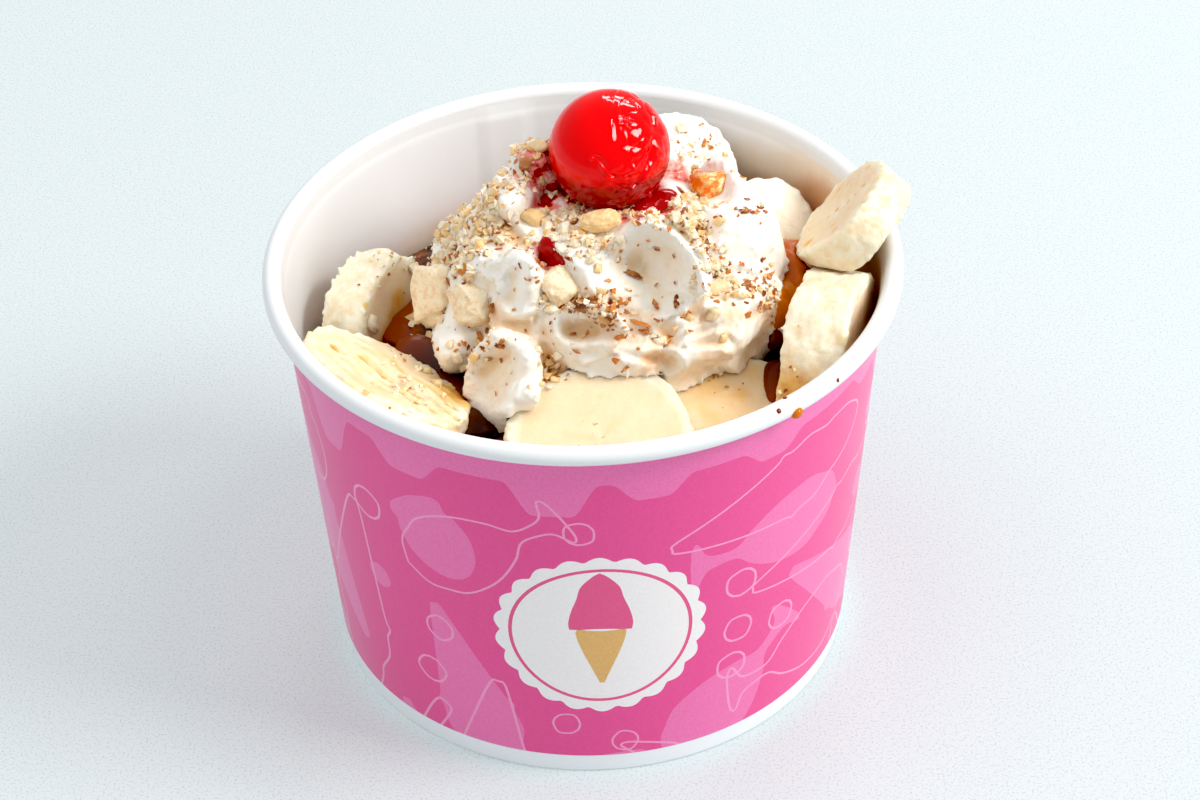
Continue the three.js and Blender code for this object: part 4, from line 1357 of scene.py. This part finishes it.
# Puddles of joined spots: pixel, level, radius and thickness in mm, tone from amber to dark. A spot with a
# level is a deep pool that reaches down into the filling, and one without lies thinly on what is seen there.
CARAMEL_PUDDLES = [
    [((414, 346), 64.6, 3.2, 0.8, 0.6), ((426, 358), 65.0, 3.4, 0.8, 0.8), ((438, 370), 65.2, 3.8, 0.9, 0.9),
     ((450, 382), 65.4, 4.2, 0.9, 1.0), ((462, 395), 65.4, 4.4, 0.9, 1.0), ((472, 408), 65.4, 4.0, 0.9, 1.0),
     ((478, 420), 65.2, 3.4, 0.8, 1.0), ((440, 388), 65.6, 3.2, 0.7, 0.35), ((450, 402), 65.6, 3.2, 0.7, 0.3),
     ((460, 416), 65.6, 3.0, 0.7, 0.3)],
    [((402, 300), 61.6, 2.6, 0.5, 0.5), ((397, 312), 61.6, 3.0, 0.5, 0.4), ((393, 324), 61.6, 3.0, 0.5, 0.45),
     ((404, 334), 62.0, 3.0, 0.5, 0.6)],
    [((776, 336), None, 1.5, 0.8, 0.85), ((775, 352), None, 1.6, 0.9, 0.85), ((774, 368), None, 1.7, 0.9, 0.8),
     ((773, 384), None, 1.6, 0.8, 0.7), ((774, 398), None, 1.2, 0.6, 0.6)],
    [((786, 292), None, 2.2, 0.6, 0.2), ((782, 306), None, 2.4, 0.6, 0.15), ((780, 320), None, 2.2, 0.6, 0.3)],
    [((797, 413), None, 1.15, 0.9, 0.15)], [((779, 411), None, 0.5, 0.25, 0.6)],
    [((785, 398), None, 0.45, 0.25, 0.6)], [((838, 380), None, 0.45, 0.2, 0.6)],
]
SYRUP_PUDDLES = [
    [((668, 196), None, 1.8, 0.8, 0), ((656, 204), None, 2.0, 0.8, 0), ((640, 208), None, 1.6, 0.6, 0)],
    [((552, 188), None, 1.4, 0.6, 0), ((546, 200), None, 1.2, 0.6, 0)],
    [((547, 247), None, 1.9, 0.8, 0), ((553, 257), None, 1.9, 0.8, 0), ((562, 262), None, 1.3, 0.6, 0),
     ((541, 261), None, 1.1, 0.5, 0)],
]


def joined(puddle):
    """The spots of a puddle with one more between each two that follow one another."""
    spots = [puddle[0]]
    for first, second in zip(puddle, puddle[1:]):
        middle = [None if a is None else np.add(a, b) / 2 for a, b in zip(first, second)]
        spots += [middle, second]
    return spots


Spot = namedtuple("Spot", "at up radius thickness tone deep")


def laid_spots(puddle, ground):
    """The spots of a puddle in space: a deep one at its level, another on what its pixel shows."""
    spots = []
    for pixel, level, *form in joined(puddle):
        if level is None:
            hit = ground.seen_at(pixel)
        else:
            way = np.array(sight_line(pixel))
            hit = (CAMERA_AT + way * (level - CAMERA_AT[2]) / way[2], np.array((0, 0, 1)))
        if hit:
            spots.append(Spot(hit[0], hit[1], *form, level is not None))
    return spots


def puddle_distance(points, spots):
    total = np.full(len(points), 1e3)
    for spot in spots:
        lift = (points - spot.at) @ spot.up
        aside = np.sqrt(np.maximum(((points - spot.at) ** 2).sum(axis=1) - lift**2, 0))
        if spot.deep:
            lift = np.maximum(lift, 0)
        share = np.hypot(aside / spot.radius, lift / spot.thickness)
        total = smooth_union(total, (share - 1) * spot.thickness, spot.thickness)
    if spots[0].deep:
        total = np.maximum(total, fill_height(points) - SUNK - points[:, 2])
        total = np.maximum(total, wall_distance(points, GAP))
    return total


def add_sauce(name, puddles, ground, material, slot):
    heap = Heap()
    for puddle in puddles:
        spots = laid_spots(puddle, ground)
        if not spots:
            continue
        places = np.array([s.at for s in spots])
        reach = max(s.radius for s in spots) + 1
        low, high = places.min(axis=0) - reach, places.max(axis=0) + reach
        if spots[0].deep:
            low[2] = FILL_EDGE - SUNK

        def field(points, spots=spots):
            return puddle_distance(points, spots)

        points, _, quads = meshed(field, low, high, SAUCE_STEP)
        near = [np.exp(-(((points - s.at) ** 2).sum(axis=1)) / s.radius**2) + 1e-9 for s in spots]
        tone = sum(n * s.tone for n, s in zip(near, spots)) / sum(near)
        heap.add((points, quads), np.zeros(3), np.eye(3), (2, 2, 2), tone)
    heap.piece(name, material, slot)


def sauce_look():
    look = Look("caramel_runs")
    tone = look.attribute("tone")
    amber = look.mix(look.between(tone, 0.1, 0.55), srgb(216, 126, 26), srgb(146, 60, 8))
    look.set(Base_Color=look.mix(look.between(tone, 0.5, 1.0), amber, srgb(58, 12, 2)))
    look.set(Roughness=0.08, IOR=1.48)
    look.set(Subsurface_Weight=0.3, Subsurface_Scale=0.003, Subsurface_Radius=(1, 0.4, 0.1))
    return look.material


# ------------------------------------------------------------------ paper cup

CUP_SIDES = 256
PRINT_LOW = 4.4
PRINT_HIGH = 79.2
SLEEVE = 0.06                        # how far the printed layer stands proud
LAP_RISE = 0.25                      # how much farther out it is where it laps over itself
PRINT_RADIUS = 52                    # at which it is as long as the cup is round
PRINT_GRID = 2.2
LINE = 0.5                           # width of a drawn line
GROUND_TONE, SHAPE_TONE, LINE_TONE, LABEL_TONE, LABEL_ACCENT, LABEL_CONE = range(6)

# Heights and half widths of shapes that are alike on both sides
CONE = [
    (0, 0), (1.2, 1.6), (13, 5), (25, 8.4), (27.5, 9.8), (30, 9.2), (35, 9.6), (40, 7.6), (43, 7.4), (48, 6),
    (52, 2.6), (53, 0),
]
LOLLY = [
    (0, 0), (0.6, 1.5), (4, 1.9), (14, 1.9), (15.6, 5.4), (18, 7.8), (27, 8.2), (37, 8), (42, 6.4), (45.4, 3),
    (46.2, 0),
]
GOBLET = [
    (0, 0), (0.3, 5), (1.6, 6.4), (3.6, 2.6), (7, 1.5), (11, 1.8), (15, 5.4), (22, 9), (30, 10), (35, 8),
    (39, 5.4), (41.5, 0),
]
SCOOP = [(0, 0), (0.8, 5), (2.5, 7), (5, 6.6), (7, 7.6), (12, 8), (17, 6), (20, 2.8), (20.8, 0)]
DOT = [(0, 0), (0.7, 1.9), (3.2, 3.4), (5.7, 1.9), (6.4, 0)]

LABEL_WAFER = [(0, 0.3), (1, 0.8), (13, 4.6), (14, 0)]
LABEL_SCOOP = [(0, 5.6), (2, 5.8), (5, 5.2), (8, 4.2), (11, 3.4), (13.5, 1.4), (14.5, 0)]
LABEL_PLACE = (151, 36)              # round the cup and up, at the front
LABEL_RADIUS = 18.5
LABEL_SCALLOPS = 22
DRIP_HEIGHT = 73                     # of the lower edge of the drips under the rim
DRIPS = 15
MOTIF_TOP = 67                       # a motif's ends stay below this height
FILLED_SEED, LINE_SEED = 5, 12
PRINT_LENGTH = 2 * math.pi * PRINT_RADIUS


def scattered_motifs(seed, tries, room):
    """Motifs at random places that leave the label and one another free: outline, place, lean and scale."""
    draw = np.random.RandomState(seed)
    taken = [(np.array(LABEL_PLACE), LABEL_RADIUS + 1.5)]
    motifs = []
    for profile in (CONE, GOBLET, LOLLY, SCOOP, DOT):
        heights, widths = zip(*profile)
        for _ in range(tries):
            place = draw.uniform((0, 0), (PRINT_LENGTH, PRINT_HIGH))
            lean, scale = draw.uniform(0, 360), draw.uniform(0.8, 1.1)
            discs = []
            for share in (0.12, 0.35, 0.6, 0.85):
                height = share * heights[-1]
                spot = placed_outline(np.array([[0, height]]), *place, lean, scale)[0]
                discs.append((spot, (np.interp(height, heights, widths) + room) * scale))
            apart = [np.hypot(*(a - b)) - r - s for a, r in discs for b, s in taken]
            if min(apart) > 0 and all(spot[1] < MOTIF_TOP for spot, _ in (discs[0], discs[-1])):
                taken += discs
                motifs.append((profile, *place, lean, scale))
    return motifs


def drip_outline():
    """The band under the rim whose lower edge runs down in drips of uneven length."""
    draw = np.random.RandomState(FILLED_SEED)
    x = np.linspace(0, PRINT_LENGTH, 500)
    y = np.full(len(x), float(DRIP_HEIGHT))
    for i in range(DRIPS):
        centre = (i + draw.uniform(0.2, 0.8)) * PRINT_LENGTH / DRIPS
        wide = draw.uniform(4, 7)
        y -= draw.uniform(2, 11) * smoothstep(wide - np.abs(x - centre), -2.5, 2.5)
    top = np.array([[PRINT_LENGTH, PRINT_HIGH + 1], [0, PRINT_HIGH + 1]])
    return np.concatenate([np.stack([x, y], 1), top])


def mirrored(profile, grow=0.0):
    """A closed smooth outline from half widths at heights, pushed outward by 'grow'."""
    right = spline(np.array([(width, height) for height, width in profile], dtype=float), 5)
    right[:, 0] = np.maximum(right[:, 0], 0)
    loop = np.concatenate([right, (right * (-1, 1))[-2:0:-1]])
    if grow:
        ahead = np.roll(loop, -1, axis=0) - np.roll(loop, 1, axis=0)
        side = np.stack([ahead[:, 1], -ahead[:, 0]], 1)
        loop = loop + grow * side / np.maximum(np.linalg.norm(side, axis=1), 1e-6)[:, None]
    return loop


def placed_outline(loop, x, y, lean, scale):
    angle = math.radians(lean)
    turn = np.array([[math.cos(angle), -math.sin(angle)], [math.sin(angle), math.cos(angle)]])
    return loop * scale @ turn.T + (x, y)


def circle_outline(x, y, radius, wave=0.0, waves=1, count=80):
    angle = np.arange(count) * 2 * math.pi / count
    reach = radius + wave * np.abs(np.sin(angle * waves / 2))
    return np.stack([x + reach * np.cos(angle), y + reach * np.sin(angle)], 1)


def print_shapes():
    """Outlines on the unrolled cup: outer, inner or None, tone. Later ones lie over earlier ones."""
    shapes = [(drip_outline(), None, SHAPE_TONE)]
    for profile, *place in scattered_motifs(FILLED_SEED, 70, 3):
        shapes.append((placed_outline(mirrored(profile), *place), None, SHAPE_TONE))
    for profile, *place in scattered_motifs(LINE_SEED, 300, 1):
        outer, inner = (placed_outline(mirrored(profile, grow), *place) for grow in (LINE / 2, -LINE / 2))
        shapes.append((outer, inner, LINE_TONE))
    x, y = LABEL_PLACE
    shapes.append((circle_outline(x, y, LABEL_RADIUS, 1.2, LABEL_SCALLOPS, 200), None, LABEL_TONE))
    outer, inner = (circle_outline(x, y, LABEL_RADIUS - inset) for inset in (1.6, 2.3))
    shapes.append((outer, inner, LABEL_ACCENT))
    for profile, foot, tone in ((LABEL_WAFER, -12, LABEL_CONE), (LABEL_SCOOP, 1.4, LABEL_ACCENT)):
        shapes.append((placed_outline(mirrored(profile), x, y + foot, 0, 1), None, tone))
    return shapes


def is_inside(points, loop):
    """Whether points lie inside a closed outline."""
    inside = np.zeros(len(points), dtype=bool)
    for (x0, y0), (x1, y1) in zip(loop, np.roll(loop, -1, axis=0)):
        crosses = (y0 > points[:, 1]) != (y1 > points[:, 1])
        if y0 != y1:
            inside ^= crosses & (points[:, 0] < (x1 - x0) * (points[:, 1] - y0) / (y1 - y0) + x0)
    return inside


def printed_sheet():
    """The flat print: points, triangles and a tone for each triangle."""
    shapes = print_shapes()
    columns = np.linspace(0, PRINT_LENGTH, int(PRINT_LENGTH / PRINT_GRID))
    rows = np.linspace(PRINT_LOW, PRINT_HIGH, int((PRINT_HIGH - PRINT_LOW) / PRINT_GRID))
    points = [Vector((x, y)) for y in rows for x in columns]
    edges = []
    for outer, inner, _ in shapes:
        for loop in (outer, inner):
            if loop is None:
                continue
            start = len(points)
            held = np.clip(loop, (0, PRINT_LOW), (PRINT_LENGTH, PRINT_HIGH))
            points += [Vector(p) for p in held]
            edges += [(start + i, start + (i + 1) % len(held)) for i in range(len(held))]
    flat, _, triangles, *_ = delaunay_2d_cdt(points, edges, [], 0, 1e-4)
    flat = np.array([tuple(p) for p in flat])
    triangles = np.array([t for t in triangles if len(t) == 3])
    middles = flat[triangles].mean(axis=1)
    tones = np.full(len(triangles), GROUND_TONE)
    for outer, inner, tone in shapes:
        low, high = outer.min(axis=0), outer.max(axis=0)
        near = np.nonzero(((middles >= low) & (middles <= high)).all(axis=1))[0]
        covered = is_inside(middles[near], outer)
        if inner is not None:
            covered &= ~is_inside(middles[near], inner)
        tones[near[covered]] = tone
    return flat, triangles, tones


def add_print(materials):
    flat, triangles, tones = printed_sheet()
    angle = np.radians(SEAM_ANGLE) + flat[:, 0] / PRINT_RADIUS
    around = np.stack([np.cos(angle), np.sin(angle)], 1)
    lap_start = PRINT_LENGTH - SEAM_WIDTH
    lap = LAP_RISE * smoothstep(flat[:, 0], lap_start, lap_start + 2)
    reach = wall_outer(flat[:, 1]) + SLEEVE + lap
    points = np.column_stack([around * reach[:, None], flat[:, 1]])
    piece = make_piece("cup_print", points, triangles, materials, face_materials=tones)
    slant = math.atan2(NECK_RADIUS - FOOT_RADIUS, CUP_HEIGHT - ROLL_RADIUS)
    normals = np.column_stack([around * math.cos(slant), np.full(len(angle), -math.sin(slant))])
    piece.data.normals_split_custom_set_from_vertices(normals.tolist())


def cup_outline():
    """Radius and height round the section of the wall, from the foot up the outside and down the inside."""
    roll_radius, roll_height = RIM_RADIUS - ROLL_RADIUS, CUP_HEIGHT - ROLL_RADIUS
    outline = [(FOOT_RADIUS - 0.5, 0), (FOOT_RADIUS - 0.1, 0.15), (FOOT_RADIUS, 0.5)]
    outline += [(wall_outer(h), h) for h in np.linspace(1, PRINT_HIGH, 30)]
    for angle in np.radians(np.linspace(-138, 180, 30)):
        out, up = ROLL_RADIUS * math.cos(angle), ROLL_RADIUS * math.sin(angle)
        outline.append((roll_radius + out, roll_height + up))
    fold_top, fold_radius = BASE_HEIGHT - GAP, FOOT_RADIUS - FOOT_FOLD
    outline += [(wall_inner(h), h) for h in np.linspace(CUP_HEIGHT - 1.9 * ROLL_RADIUS, fold_top, 50)]
    outline += [(wall_outer(fold_top) - FOOT_FOLD, fold_top), (fold_radius, 0.4), (fold_radius + 0.4, 0)]
    return outline


def add_cup(paper):
    outline = cup_outline()
    points = turned(outline, CUP_SIDES)
    reach, height = np.hypot(points[:, 0], points[:, 1]), points[:, 2]
    angle = np.degrees(np.arctan2(points[:, 1], points[:, 0]))
    inside = (height > BASE_HEIGHT + 3 * PAPER) & (height < CUP_HEIGHT - ROLL_RADIUS)
    inside &= reach < wall_inner(height) + PAPER / 2
    half = math.degrees(SEAM_WIDTH / 2 / NECK_RADIUS)
    step = SEAM_STEP * inside * (np.abs(angle - SEAM_ANGLE) < half)
    points[:, :2] *= (1 - step / np.maximum(reach, 1))[:, None]
    quads = ring_faces(len(outline), CUP_SIDES, closed=True)
    values = {"inside": inside.astype(float)}
    return make_piece("paper_cup", points, quads, [paper], ["cup_wall"], values=values)


def paper_look():
    look = Look("white_paper")
    white = look.mix(look.noise(0.05, 2), srgb(250, 252, 255), srgb(246, 249, 253))
    inner = look.attribute("inside")
    # Partly caramel smears, partly painted shade and warm bounced light: the inner wall turns tan, then
    # orange, toward the food, and the tilt of the level makes this stronger on the shaded right side than on
    # the lit left.
    sideways = look.vector("DOT_PRODUCT", look.place, (-0.3 / MM, -0.02 / MM, 1 / MM), output="Value")
    level = look.math("ADD", sideways, look.math("MULTIPLY", look.noise(0.06, 4), 12))
    stain_and_shade = look.times(look.between(level, 80, 60), inner)
    # Painted shade: the paper from 79.3 mm up, the rolled rim, is a little greyer.
    edge = look.mix(look.between(look.height(), 79.3, 80.2), white, srgb(238, 240, 242))
    stained_and_shaded = look.mix(look.times(look.between(stain_and_shade, 0, 0.5), 0.5), edge, srgb(236, 202, 148))
    soaked_and_shaded = look.mix(look.times(look.between(stain_and_shade, 0.45, 1), 0.8), stained_and_shaded, srgb(204, 136, 64))
    look.set(Base_Color=soaked_and_shaded, Roughness=0.32)
    look.set(Coat_Weight=0.3, Coat_Roughness=0.25)
    look.bump(look.noise(2.5, 3), 0.015)
    return look.material


def ink_look(name, colour, other):
    look = Look(name)
    uneven = look.between(look.noise(2.4, 2), 0.35, 0.7)
    look.set(Base_Color=look.mix(uneven, srgb(*colour), srgb(*other)), Roughness=0.36)
    look.set(Coat_Weight=0.35, Coat_Roughness=0.22)
    look.bump(look.noise(2.5, 3), 0.015)
    return look.material


# In the order of the tones
INKS = [
    ("ink_magenta", (242, 86, 160), (238, 78, 153)), ("ink_light_pink", (246, 128, 188), (244, 116, 180)),
    ("ink_line_pink", (250, 168, 208), (248, 156, 200)), ("ink_white", (252, 248, 248), (250, 242, 244)),
    ("ink_rose", (240, 96, 150), (236, 88, 144)), ("ink_wafer", (236, 190, 120), (230, 180, 108)),
]


# ------------------------------------------------------------------ floor


def add_floor():
    half, count = 1500, 24
    line = np.linspace(-half, half, count + 1)
    points = [(x * MM, y * MM, 0) for y in line for x in line]
    corners = [row * (count + 1) + column for row in range(count) for column in range(count)]
    faces = [(a, a + 1, a + count + 2, a + count + 1) for a in corners]
    look = Look("pale_floor")
    specks = look.times(look.between(look.noise(2.2, 1), 0.5, 0.72), 0.8)
    look.set(Base_Color=look.mix(specks, srgb(180, 190, 193), srgb(152, 158, 162)), Roughness=0.55)
    look.set(Emission_Color=(0.93, 0.975, 0.955, 1), Emission_Strength=0.275)
    mesh = bpy.data.meshes.new("floor")
    mesh.from_pydata(points, [], faces)
    mesh.materials.append(look.material)
    floor = bpy.data.objects.new("floor", mesh)
    bpy.context.scene.collection.objects.link(floor)


# ------------------------------------------------------------------ assembly

add_camera()
add_lights()
add_floor()

paper = paper_look()
cup = add_cup(paper)
add_print([ink_look(*ink) for ink in INKS])
base_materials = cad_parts["cup_base"].data.materials
base_materials.clear()
base_materials.append(paper)
landing = [cup, add_filling(caramel_look())]
banana = banana_look()
for number, name in enumerate(SLICES):
    landing.append(add_slice(name, banana, 100 + 10 * number))
cream = Cream()
landing.append(add_cream(cream, cream_look()))
cherry = cherry_look()
landing.append(add_cherry(cherry))
ground = Ground(landing)
add_sauce("caramel_runs", CARAMEL_PUDDLES, ground, sauce_look(), "caramel")
add_sauce("cherry_syrup", SYRUP_PUDDLES, ground, cherry, "cherry")
nut = nut_look("nut_flesh", 0.0012)
add_chunks(nut, glaze_look())
add_nuts(ground, nut, nut_look("nut_grains", 0.00015), skin_look())
